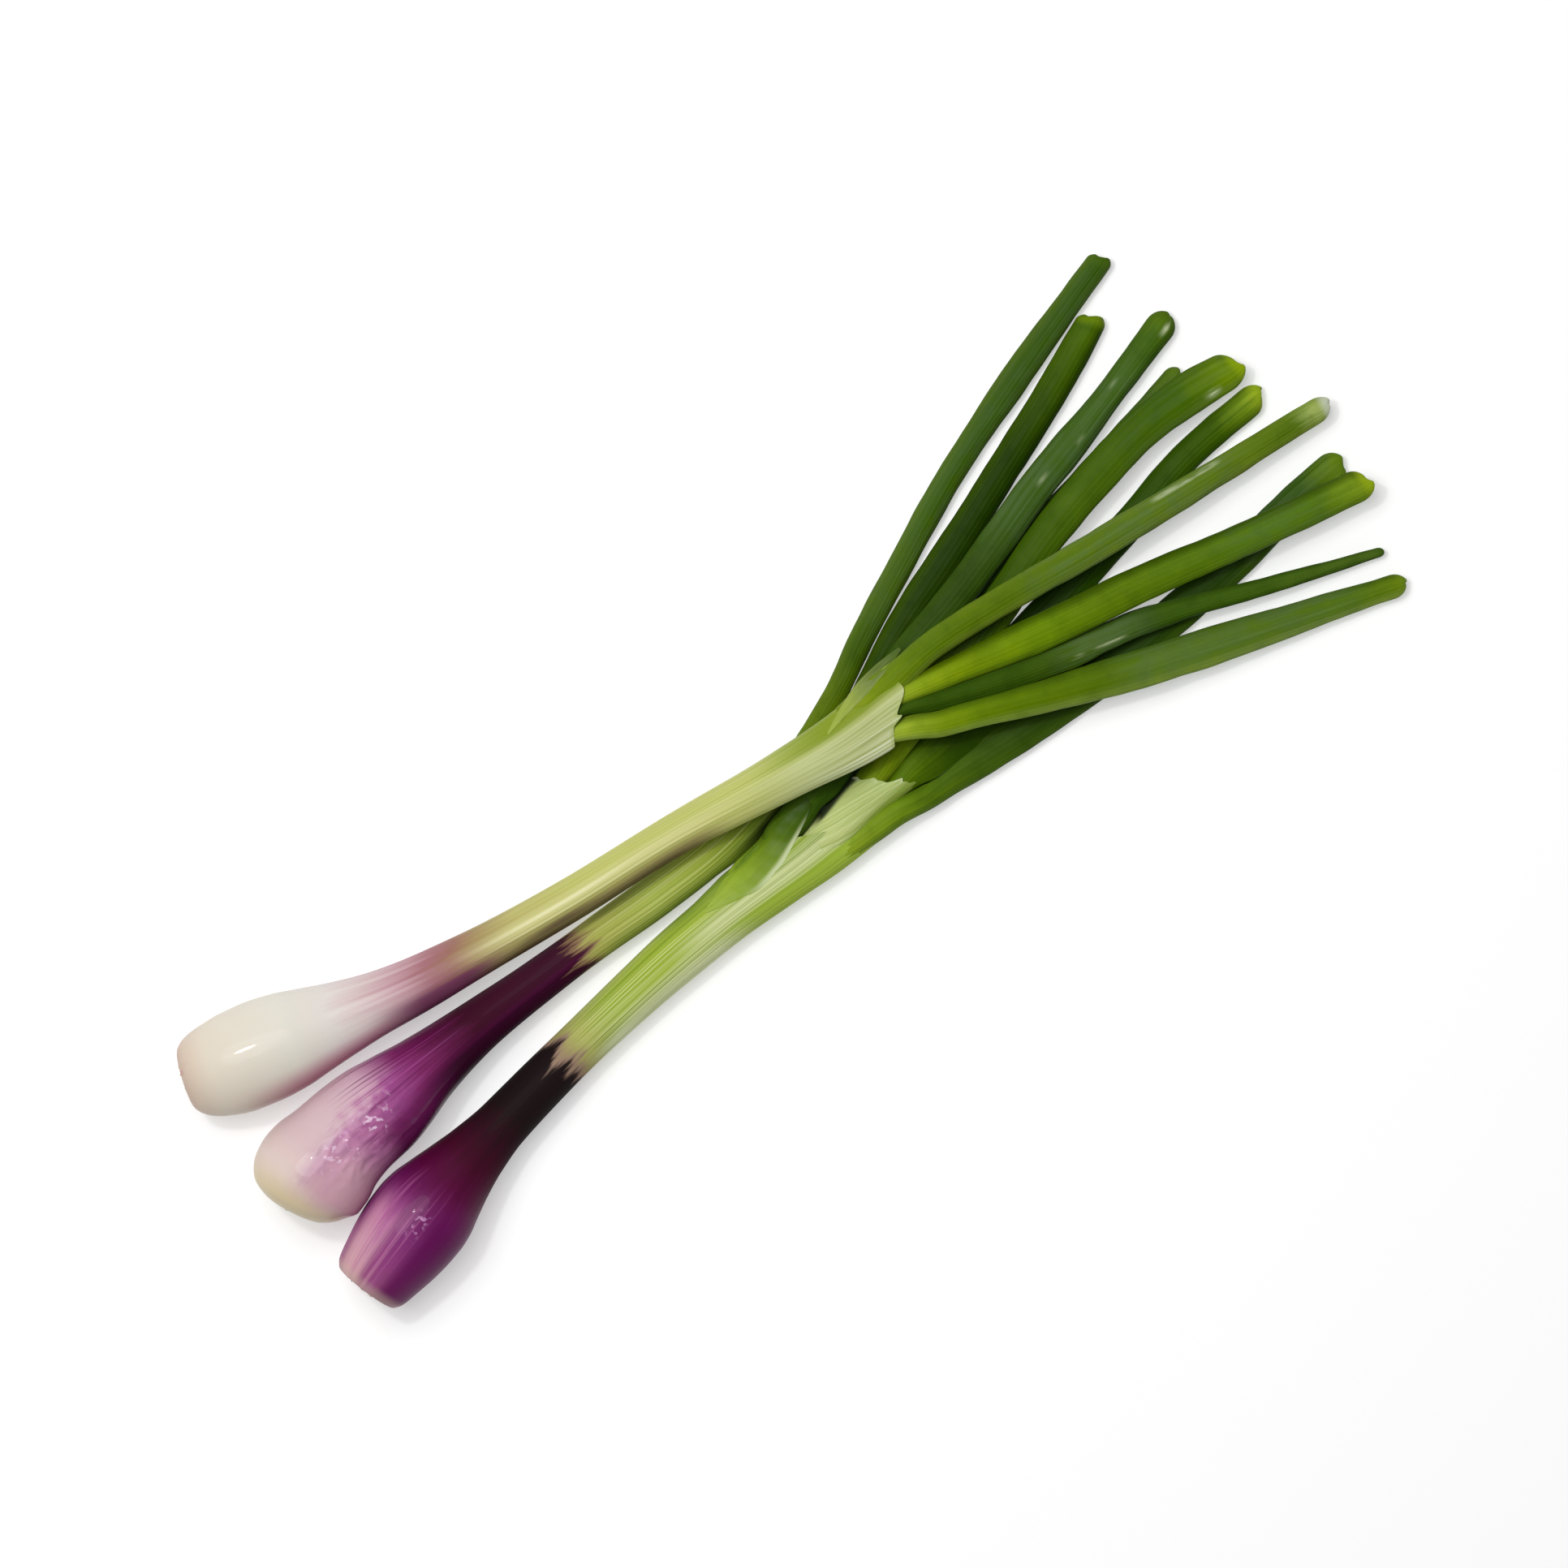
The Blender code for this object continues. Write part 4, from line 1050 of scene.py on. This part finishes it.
mouths = {"left": left_mouth, "middle": middle_mouth, "right": right_mouth, "inner": inner_mouth}
# In each blade the side colours are painted shade and light, the pale specks are painted glints,
# and the dark bands over the hems are painted shade, one of them a painted grey-blue glint.
BLADES = [
    dict(name="left_leaf_1", node="left_onion_leaf_1", slot="pale_green_leaf", mouth="left",
         seat=[(-11.4, 3.2, 0.0), (-6, 3.6, 0.1), (0, 4.1, 0.1)],
         route=[(47, 6.2, 15.7), (66, 4.3, 14.4), (93, 0.1, 11.2), (121, -3.7, 8.6),
                (162.5, -8.9, 5.2)],
         widths=[(0, 4.4), (6, 4.7), (11, 4.7), (17, 3.9), (27, 3.5), (50, 3.6),
                 (80, 3.8), (105, 3.5), (131, 3.1)],
         heights=[(0, 3.2), (6, 3.2), (11, 2.85), (18, 2.6), (30, 2.3), (130, 2.0)],
         tones=[(0, (130, 146, 27)), (9, (112, 134, 15)), (24, (84, 110, 5)),
                (46, (83, 108, 7)), (70, (83, 110, 18)), (96, (88, 114, 25)),
                (118, (90, 115, 20)), (133, (82, 110, 15)), (139, (150, 168, 89))],
         flank_shading=[((98, 120, 31), 0.6), ((112, 132, 46), 0.5)], bloom=(50, 110, 0.3),
         glint_flecks=[(94, 112, 0.5, 0.8, 0.5)],
         lip=(214, 220, 204), cut=(0.4, 0.15), tip=(4.0, 0.9)),
    dict(name="left_leaf_2", node="left_onion_leaf_2", slot="bright_green_leaf", mouth="left",
         seat=[(-11.4, 0.75, 0.0), (0, 0.95, 0.1)],
         route=[(47, -1.6, 14.9), (63, -5.9, 13.4), (80, -10.3, 11.4), (97, -14.1, 10.0),
                (126, -22.1, 9.0), (158.2, -30.0, 7.8)],
         widths=[(0, 1.6), (11, 2.3), (22, 3.0), (36, 3.8), (52, 4.6), (70, 4.6),
                 (88, 4.4), (105, 4.1), (136, 4.1)],
         heights=[(0, 2.6), (11, 2.6), (30, 2.3), (133, 2.2)],
         tones=[(0, (160, 180, 63)), (20, (132, 156, 20)), (30, (114, 138, 4)),
                (52, (102, 132, 5)), (70, (90, 117, 4)), (90, (82, 112, 8)),
                (112, (80, 112, 15)), (128, (80, 112, 12)), (140, (120, 146, 27))],
         flank_shading=[((40, 62, 1), 0.7), ((78, 106, 15), 0.5)], bloom=(95, 125, 0.15),
         lip=(156, 178, 20), cut=(-0.8, 0.1), tip=(4.4, 0.9)),
    dict(name="left_leaf_3", node="left_onion_leaf_3", slot="blue_green_leaf", mouth="left",
         seat=[(-11.4, -1.9, 0.0), (0, -2.0, 0.1)],
         route=[(46, -6.9, 14.0), (58, -11.5, 12.4), (70, -15.2, 10.7), (81, -18.5, 9.0),
                (92, -21.6, 7.6), (101, -25.0, 6.9), (120, -33.4, 5.2), (150.2, -45.9, 2.2)],
         widths=[(0, 1.2), (11, 1.6), (18, 1.7), (26, 1.9), (38, 2.4), (52, 2.9),
                 (70, 3.4), (78, 3.3), (88, 2.7), (112, 2.1), (137, 1.2)],
         heights=[(0, 2.0), (11, 2.0), (30, 1.8), (80, 1.8), (137, 1.1)],
         hollow=False,
         tones=[(0, (70, 94, 17)), (22, (52, 80, 8)), (44, (54, 82, 8)), (62, (68, 94, 20)),
                (78, (54, 82, 12)), (100, (62, 92, 15)), (138, (74, 100, 28))],
         flank_shading=[((38, 62, 7), 0.5), ((38, 66, 5), 0.4)], bloom=(48, 70, 0.3),
         glint_flecks=[(57, 59, -0.6, -0.4, 0.5), (64, 71, -0.55, -0.4, 0.6)],
         lip=(60, 90, 20), cut=(0.0, 0.1), tip=(1.6, 0.9),
         left_hem=[(16, 0.0), (24, 1.4), (42, 1.8), (52, 0.6), (60, 0.0)],
         right_hem=[(12, 0.0), (20, 1.6), (34, 1.5), (56, 1.5), (66, 0.0)],
         shade_and_glint_bands=[(-1, 14, 66, (14, 26, 2), 0.95), (1, 18, 58, (14, 26, 2), 0.95)]),
    dict(name="left_leaf_4", node="left_onion_leaf_4", slot="bright_green_leaf", mouth="left",
         seat=[(-11.4, -4.4, 0.0), (-5.5, -5.1, 0.0), (0, -6.9, 0.0)],
         route=[(38, -10.0, 14.4), (46, -13.4, 13.2), (65, -22.1, 10.8), (84, -30.2, 8.9),
                (104, -38.0, 6.4), (124, -45.6, 4.2), (149.6, -55.3, 2.6)],
         widths=[(0, 1.8), (6, 2.3), (9, 2.6), (14, 3.1), (26, 3.5), (48, 4.1), (72, 4.8),
                 (86, 4.8), (108, 4.1), (133, 3.0)],
         heights=[(0, 1.8), (8, 1.9), (30, 2.3), (84, 2.3), (130, 2.0)],
         tones=[(0, (160, 178, 70)), (10, (142, 164, 41)), (20, (112, 138, 8)),
                (36, (90, 117, 2)), (60, (82, 109, 4)), (84, (80, 109, 17)), (112, (80, 109, 22)),
                (128, (80, 110, 20)), (138, (96, 122, 14))],
         flank_shading=[((58, 82, 15), 0.6), ((124, 146, 61), 0.65)], bloom=(60, 120, 0.25),
         lip=(112, 140, 27), cut=(0.3, 0.1), tip=(3.6, 0.94)),
    dict(name="middle_leaf_1", node="middle_onion_leaf_1", slot="grass_green_leaf",
         mouth="middle", seat=[(-9.4, 2.8, 0.0), (0, 2.8, 0.0), (4, 2.9, 0.0)],
         route=[(22, 11.6, 3.8), (36, 18.3, 2.9), (54, 26.0, 2.5), (80, 36.4, 2.4),
                (107, 44.8, 2.4), (141.8, 54.3, 2.4)],
         widths=[(0, 1.1), (11, 1.3), (18, 2.1), (30, 2.9), (64, 3.2), (98, 3.3),
                 (120, 3.7), (136, 3.4), (156, 3.1)],
         heights=[(0, 2.0), (12, 2.0), (24, 2.3), (156, 2.2)],
         tones=[(0, (100, 122, 12)), (28, (84, 106, 5)), (42, (58, 86, 4)), (62, (64, 92, 9)),
                (84, (56, 86, 8)), (120, (52, 82, 10)), (160, (52, 82, 8))],
         flank_shading=[((96, 116, 43), 0.35), ((66, 90, 22), 0.4)], bloom=(40, 150, 0.15),
         lip=(70, 98, 17), cut=(-0.6, 0.15), tip=(1.8, 0.6)),
    dict(name="middle_leaf_2", node="middle_onion_leaf_2", slot="grass_green_leaf",
         mouth="middle", seat=[(-9.4, 0.15, 0.0), (0, 0.1, 0.0)],
         route=[(21, 5.4, 4.0), (31, 9.1, 3.2), (44, 14.1, 2.5), (64, 20.3, 2.4),
                (89, 28.7, 2.4), (112, 36.6, 2.4), (131, 44.2, 2.4)],
         widths=[(0, 1.1), (9, 1.2), (30, 2.3), (51, 3.5), (71, 4.3), (96, 4.1),
                 (131, 4.0), (145, 3.6)],
         heights=[(0, 2.6), (9, 2.6), (35, 2.3), (145, 2.2)],
         tones=[(0, (66, 88, 12)), (42, (42, 66, 2)), (74, (32, 55, 0)), (104, (35, 59, 0)),
                (122, (50, 76, 0)), (145, (72, 102, 4))],
         flank_shading=[((62, 86, 15), 0.5), ((20, 42, 0), 0.6)], bloom=(10, 20, 0.0),
         lip=(112, 138, 15), cut=(-0.8, 0.2), tip=(2.2, 0.62)),
    dict(name="middle_leaf_3", node="middle_onion_leaf_3", slot="grass_green_leaf",
         mouth="middle", seat=[(-9.4, -2.7, -0.1), (0, -2.9, -0.2)],
         route=[(22, 1.0, 3.0), (40, 5.4, 2.4), (67, 10.2, 2.2), (95, 13.4, 2.2),
                (116, 16.4, 2.2), (139, 20.4, 2.2)],
         widths=[(0, 1.1), (11, 1.2), (30, 2.0), (46, 2.6), (66, 2.9), (126, 3.0),
                 (148, 2.7)],
         heights=[(0, 2.0), (35, 2.0), (147, 2.0)],
         tones=[(0, (36, 60, 2)), (90, (34, 60, 2)), (130, (58, 86, 12)), (150, (84, 110, 24))],
         flank_shading=[((60, 84, 20), 0.3), ((34, 60, 4), 0.5)], bloom=(100, 150, 0.15),
         lip=(88, 116, 27), cut=(0.3, 0.2), tip=(2.6, 0.85)),
    dict(name="right_leaf_1", node="right_onion_leaf_1", slot="blue_green_leaf", mouth="right",
         seat=[(-21.2, 4.2, -1.8), (-15.5, 4.4, -1.0)],
         route=[(-10.5, -6.9, 6.6), (-5, -5.7, 7.8), (0, -4.4, 8.4), (6, -3.3, 8.5),
                (11, -2.0, 8.4), (16, -0.5, 8.4), (28, 3.9, 8.2), (41, 8.2, 7.8),
                (60, 11.8, 7.5), (79, 16.6, 6.8), (93, 20.4, 5.6), (113, 24.7, 3.9),
                (145.8, 32.8, 2.4)],
         widths=[(0, 2.6), (5, 3.6), (10, 4.0), (15, 4.1), (20, 4.0), (25, 3.6), (31, 3.0),
                 (38, 2.7), (50, 3.4), (70, 3.9), (100, 4.3), (128, 4.3), (148, 3.4),
                 (170, 3.8), (186, 3.4)],
         heights=[(0, 1.4), (6, 2.4), (14, 2.6), (24, 2.1), (186, 2.1)],
         tones=[(0, (122, 142, 35)), (6, (100, 126, 28)), (14, (74, 104, 16)), (30, (46, 74, 7)),
                (70, (48, 74, 11)), (90, (46, 70, 10)), (108, (60, 88, 24)), (140, (62, 93, 24)),
                (165, (64, 96, 17)), (190, (84, 112, 15))],
         flank_shading=[((58, 82, 22), 0.4), ((40, 66, 12), 0.5)], bloom=(96, 150, 0.25),
         right_hem=[(24, 0.0), (30, 2.0), (40, 2.4), (48, 0.0)],
         shade_and_glint_bands=[(-1, 22, 50, (14, 26, 6), 0.9)],
         glint_flecks=[(120, 122, -0.1, 0.1, 0.5), (134, 135, -0.4, -0.2, 0.4),
                 (150, 151, 0.2, 0.4, 0.5), (168, 171, -0.5, -0.2, 0.7)],
         lip=(72, 98, 18), cut=(0.2, 0.1), tip=(4.2, 0.93)),
    dict(name="right_leaf_2", node="right_onion_leaf_2", slot="grass_green_leaf", mouth="inner",
         seat=[(-8.4, 2.0, 0.0), (0, 3.0, 0.1)],
         route=[(28, -6.2, 7.8), (41, -2.7, 8.1), (56, 0.0, 8.0), (68, 3.4, 7.7),
                (88, 9.4, 7.5), (103, 12.4, 7.5), (125, 15.2, 7.3), (138, 14.5, 6.8),
                (151.5, 12.5, 6.0)],
         widths=[(0, 2.2), (8, 3.1), (16, 4.2), (22, 4.7), (33, 5.0), (75, 4.6),
                 (100, 4.8), (118, 4.9), (130, 5.2), (145, 4.6)],
         heights=[(0, 2.0), (8, 2.1), (20, 2.3), (142, 2.2)],
         tones=[(0, (126, 146, 24)), (12, (106, 128, 7)), (24, (84, 108, 5)), (50, (46, 70, 4)),
                (76, (60, 88, 4)), (92, (68, 97, 8)), (114, (63, 93, 5)), (128, (66, 98, 2)),
                (138, (96, 124, 2)), (148, (118, 146, 8))],
         flank_shading=[((50, 76, 5), 0.5), ((80, 108, 20), 0.4)], bloom=(100, 140, 0.1),
         glint_flecks=[(134, 136.5, -0.75, -0.45, 0.9)],
         left_hem=[(0, 1.0), (6, 2.2), (16, 1.6), (24, 0.0)],
         shade_and_glint_bands=[(1, -4, 20, (16, 28, 6), 0.9)],
         lip=(146, 172, 12), cut=(-0.8, 0.1), tip=(4.8, 0.9)),
    dict(name="right_leaf_3", node="right_onion_leaf_3", slot="grass_green_leaf", mouth="inner",
         seat=[(-8.4, -2.1, 0.0), (0, -2.6, 0.0)],
         route=[(26, -14.2, 6.2), (33, -13.7, 5.0), (42, -12.9, 3.9), (51, -11.2, 3.2),
                (60, -9.0, 2.8), (68, -7.1, 2.5), (80, -5.0, 2.4), (103, -1.5, 2.3),
                (128, 3.0, 2.3), (151.3, 3.7, 2.3)],
         widths=[(0, 1.7), (8, 2.4), (12, 2.8), (18, 4.1), (28, 4.8), (40, 4.7),
                 (50, 5.0), (58, 5.2), (66, 4.9), (80, 4.2), (100, 3.9), (140, 3.6)],
         heights=[(0, 1.9), (8, 2.0), (140, 2.1)],
         tones=[(0, (104, 128, 20)), (12, (84, 112, 7)), (26, (42, 66, 2)), (60, (26, 48, 0)),
                (80, (38, 66, 2)), (112, (50, 78, 3)), (128, (58, 88, 1)), (137, (104, 132, 20)),
                (145, (146, 168, 38))],
         flank_shading=[((40, 66, 2), 0.4), ((40, 70, 1), 0.4)], bloom=(10, 20, 0.0),
         lip=(146, 172, 27), cut=(0.8, 0.1), tip=(3.8, 0.9),
         right_hem=[(8, 0.0), (14, 2.0), (22, 3.6), (36, 4.8), (46, 4.4), (60, 3.6), (72, 1.4),
                    (80, 0.0)],
         # Near black painted shade over the right hem, then a painted grey-blue glint on it.
         shade_and_glint_bands=[(-1, 10, 78, (14, 26, 4), 0.96), (-1, 20, 30, (120, 142, 146), 0.5)]),
    dict(name="right_leaf_4", node="right_onion_leaf_4", slot="grass_green_leaf", mouth="right",
         seat=[(-21.2, -4.4, 0.0), (-10, -4.6, 0.1), (0, -5.2, 0.2)],
         route=[(9, -19.6, 5.9), (16.5, -20.2, 5.7), (23, -21.7, 4.8), (31, -22.1, 3.8),
                (42, -23.3, 3.1), (51, -24.4, 2.8), (60, -25.2, 2.5), (81, -26.5, 2.3),
                (101, -25.5, 2.3), (118, -25.1, 2.2), (135, -23.2, 2.2), (156.2, -22.4, 2.2)],
         widths=[(0, 1.8), (14, 2.8), (22, 3.3), (32, 3.6), (38, 3.4), (43, 3.3), (51, 3.9),
                 (62, 4.4), (82, 4.4), (102, 4.5), (122, 4.8), (140, 4.2), (177, 4.7)],
         heights=[(0, 2.0), (20, 3.0), (34, 3.0), (50, 2.4), (62, 2.2), (177, 2.1)],
         tones=[(0, (140, 160, 43)), (24, (124, 148, 33)), (36, (104, 132, 21)),
                (46, (78, 106, 12)), (58, (62, 88, 12)), (72, (50, 76, 10)), (88, (40, 66, 10)),
                (140, (36, 62, 5)), (166, (50, 80, 8)), (180, (104, 132, 12))],
         flank_shading=[((44, 68, 12), 0.4), ((74, 102, 22), 0.4)], bloom=(130, 180, 0.15),
         lip=(92, 122, 15), cut=(0.8, 0.1), tip=(4.0, 0.88),
         left_hem=[(54, 0.0), (66, 2.0), (84, 3.6), (98, 3.2), (108, 1.0), (114, 0.0)],
         shade_and_glint_bands=[(1, 52, 114, (16, 28, 4), 0.95)]),
]

for number, blade in enumerate(BLADES):
    route = seated_route(blade["seat"], blade["route"], mouths[blade["mouth"]])
    material = blade_finish(blade, 3.0 * number, route.length)
    leaf = blade_line(blade["name"], route, blade)
    slant, unevenness = blade["cut"]
    run_tree(leaf, blade_tree, blade_inputs, {
        "Sides": BLADE_SIDES, "Rib Count": BLADE_RIBS, "Rib Height": RIB_HEIGHT * MM,
        "Dent Depth": DENT_DEPTH * MM, "Dent Size": DENT_SIZE * MM, "Cut Slant": slant * MM,
        "Cut Waves": unevenness * MM, "Seed": 1.7 * number, "Material": material})
    dress(leaf, material, blade["node"])

# The two thin folds of sheath that reach past a mouth: a flap that hugs the left onion's first
# leaf, and the right onion's sheath edge, which lies over the foot of its first leaf and ends
# in a pale rim. Both are films of leaf skin, draped on what they cover.

FOLD_COLUMNS = 15
FOLD_STEPS = 60
FOLD_UNDERSIDE = 0.25
FOLD_LIFT = 0.06
ABOVE_ALL = 40
MISSED_LEVEL = 15.0

FOLDS = [
    dict(name="left_sheath_flap", carriers=["left_bulb_and_shank", "left_leaf_1"],
         path=[(15, 5.4, 0), (22, 7.4, 0), (29, 8.9, 0), (35, 9.8, 0), (42, 10.6, 0)],
         widths=[(0, 0.3), (7, 1.2), (14, 1.8), (20, 1.5), (28, 0.4)], thick=0.16, droop=1.6,
         tones=[(0, (150, 168, 66)), (9, (140, 156, 66)), (16, (112, 128, 66)),
                (23, (84, 104, 40)), (28, (66, 92, 20))], rim=(128, 144, 74)),
    dict(name="right_sheath_ridge",
         carriers=["right_bulb_and_shank", "right_inner_sheath", "right_leaf_1"],
         path=[(-36, -9.6, 0), (-28, -9.4, 0), (-22, -9.2, 0), (-15.5, -8.0, 0),
               (-9, -6.4, 0), (-3, -5.2, 0), (1, -4.6, 0)],
         widths=[(0, 0.4), (8, 3.0), (14, 4.5), (20, 4.7), (27, 3.9), (33, 2.6), (38, 1.0)],
         thick=0.2, droop=4.5,
         tones=[(0, (150, 172, 70)), (10, (134, 158, 48)), (20, (106, 132, 28)),
                (28, (70, 98, 12)), (38, (46, 72, 4))], rim=(202, 212, 164)),
]


def soften(grid, reach):
    """The rows of a grid of heights, each blended with its neighbours."""
    kernel = np.hanning(2 * reach + 3)[1:-1]
    padded = np.pad(grid, ((reach, reach), (0, 0)), mode="edge")
    return sum(weight * padded[shift:shift + len(grid)]
               for shift, weight in enumerate(kernel / kernel.sum()))


def draped_fold(fold):
    """A thin closed strip whose every point is lowered onto the pieces that carry it."""
    grounds = []
    for label in fold["carriers"]:
        mesh = bpy.data.objects[label].data
        grounds.append(BVHTree.FromPolygons([v.co for v in mesh.vertices],
                                            [p.vertices for p in mesh.polygons]))

    def height(x, y, fallback):
        found = [tree.ray_cast(Vector((x, y, ABOVE_ALL)) * MM, Vector((0, 0, -1)))
                 for tree in grounds]
        levels = [hit.z / MM for hit, _, _, _ in found if hit]
        return max(levels) if levels else fallback

    route = Route(fold["path"])
    rows, flow = [], []
    columns = np.linspace(-1, 1, FOLD_COLUMNS)
    stations = [route.length * step / FOLD_STEPS for step in range(FOLD_STEPS + 1)]
    levels = []
    for at in stations:
        centre, _, left, _ = route.frame(at)
        points = [centre + left * (smooth_value(fold["widths"], at) * c) for c in columns]
        middle = height(centre.x, centre.y, MISSED_LEVEL)
        levels.append([max(height(p.x, p.y, 0.0), middle - fold["droop"]) for p in points])
    levels = soften(soften(np.array(levels), 7).T, 2).T
    for at, heights in zip(stations, levels):
        centre, _, left, _ = route.frame(at)
        wide = smooth_value(fold["widths"], at)
        upper, lower = [], []
        for column, level in zip(columns, heights):
            point = centre + left * (wide * column)
            ripple = 1 + 0.3 * math.sin(at * 1.7 + column * 2)
            raised = fold["thick"] * ripple * (1 - column ** 8) + FOLD_LIFT
            upper.append((point.x, point.y, level + raised))
            lower.append((point.x, point.y, level - FOLD_UNDERSIDE))
        rows.append(upper + lower[::-1])
        flow.append([(column, 1.0, at) for column in columns]
                    + [(column, -1.0, at) for column in columns[::-1]])
    rows, flow = np.array(rows)[:, ::-1], np.array(flow)[:, ::-1]
    return skin_object(fold["name"], rows, flow, flow)


for number, fold in enumerate(FOLDS):
    strip = draped_fold(fold)
    film = Finish(fold["name"], Subsurface_Weight=0.08, Subsurface_Scale=0.001,
                  Specular_IOR_Level=0.12)
    veins = film.streaks(3, 0.06, 4.0 + number)
    reach = fold["tones"][-1][0]
    colour = film.ramp(film.along, reach, fold["tones"])
    colour = film.mix(colour, (1.4, 1.35, 1.3, 1), veins.rise(0.45, 0.65) * 0.5, "MULTIPLY")
    colour = film.mix(colour, fold["rim"], film.side.rise(-0.62, -0.9)
                      * film.along.within(13, reach - 6, 5) * 0.9)
    dress(strip, film.complete(colour, 0.42 + veins * 0.1, veins, 0.05), None)

# The studio: a plain pale surface, a soft lamp high on the left, a bright room round it, and
# a long lens that looks straight down with the bunch lying from corner to corner.

CAMERA_HEIGHT = 2.5
VIEW_WIDTH = 0.3864
SUBJECT_HEIGHT = 0.008
VIEW_CENTRE = (-0.00113, 0.00264)
VIEW_ROLL = math.radians(-39)
SENSOR = 36
FLOOR_REACH = 6
FLOOR_LEVEL = -0.00005
LAMPS = [("key_lamp", 1.0, 13.5, (-0.08, 0.42, 1.25)),
         ("window_glint", 0.1, 3.0, (-0.14, 0.42, 1.15))]

floor_mesh = bpy.data.meshes.new("floor")
floor_mesh.from_pydata([(x * FLOOR_REACH, y * FLOOR_REACH, 0)
                        for x, y in ((-1, -1), (1, -1), (1, 1), (-1, 1))], [], [(0, 1, 2, 3)])
floor = set_out("floor", floor_mesh)
floor.location.z = FLOOR_LEVEL
pale = bpy.data.materials.new("pale_floor")
pale.use_nodes = True
for label, value in {"Base Color": (0.62, 0.62, 0.62, 1), "Roughness": 0.8,
                     "Specular IOR Level": 0.1, "Emission Color": (1, 1, 1, 1),
                     "Emission Strength": 0.42}.items():
    pale.node_tree.nodes["Principled BSDF"].inputs[label].default_value = value
floor_mesh.materials.append(pale)

for label, size, energy, place in LAMPS:
    lamp = bpy.data.lights.new(label, "AREA")
    lamp.shape = "DISK"
    lamp.size = size
    lamp.energy = energy
    hung = set_out(label, lamp)
    hung.location = place
    hung.rotation_euler = (-hung.location).to_track_quat("-Z", "Y").to_euler()

world = bpy.data.worlds.new("bright_room")
bpy.context.scene.world = world
world.use_nodes = True
room = world.node_tree
direction = add_node(room, "ShaderNodeTexCoord")
height = add_node(room, "ShaderNodeSeparateXYZ", {}, [direction.outputs["Generated"]])
brightness = add_node(room, "ShaderNodeMapRange", {}, {
    "Value": height.outputs["Z"], "From Min": 0.3, "From Max": 0.95, "To Min": 0.32,
    "To Max": 0.1})
room.links.new(brightness.outputs[0], room.nodes["Background"].inputs["Strength"])
room.nodes["Background"].inputs["Color"].default_value = (1, 1, 1, 1)

lens = bpy.data.cameras.new("camera")
lens.sensor_width = SENSOR
lens.lens = SENSOR * (CAMERA_HEIGHT - SUBJECT_HEIGHT) / VIEW_WIDTH
camera = set_out("camera", lens)
camera.location = (*VIEW_CENTRE, CAMERA_HEIGHT)
camera.rotation_euler = (0, 0, VIEW_ROLL)
bpy.context.scene.camera = camera

bpy.context.scene.view_settings.view_transform = "Standard"
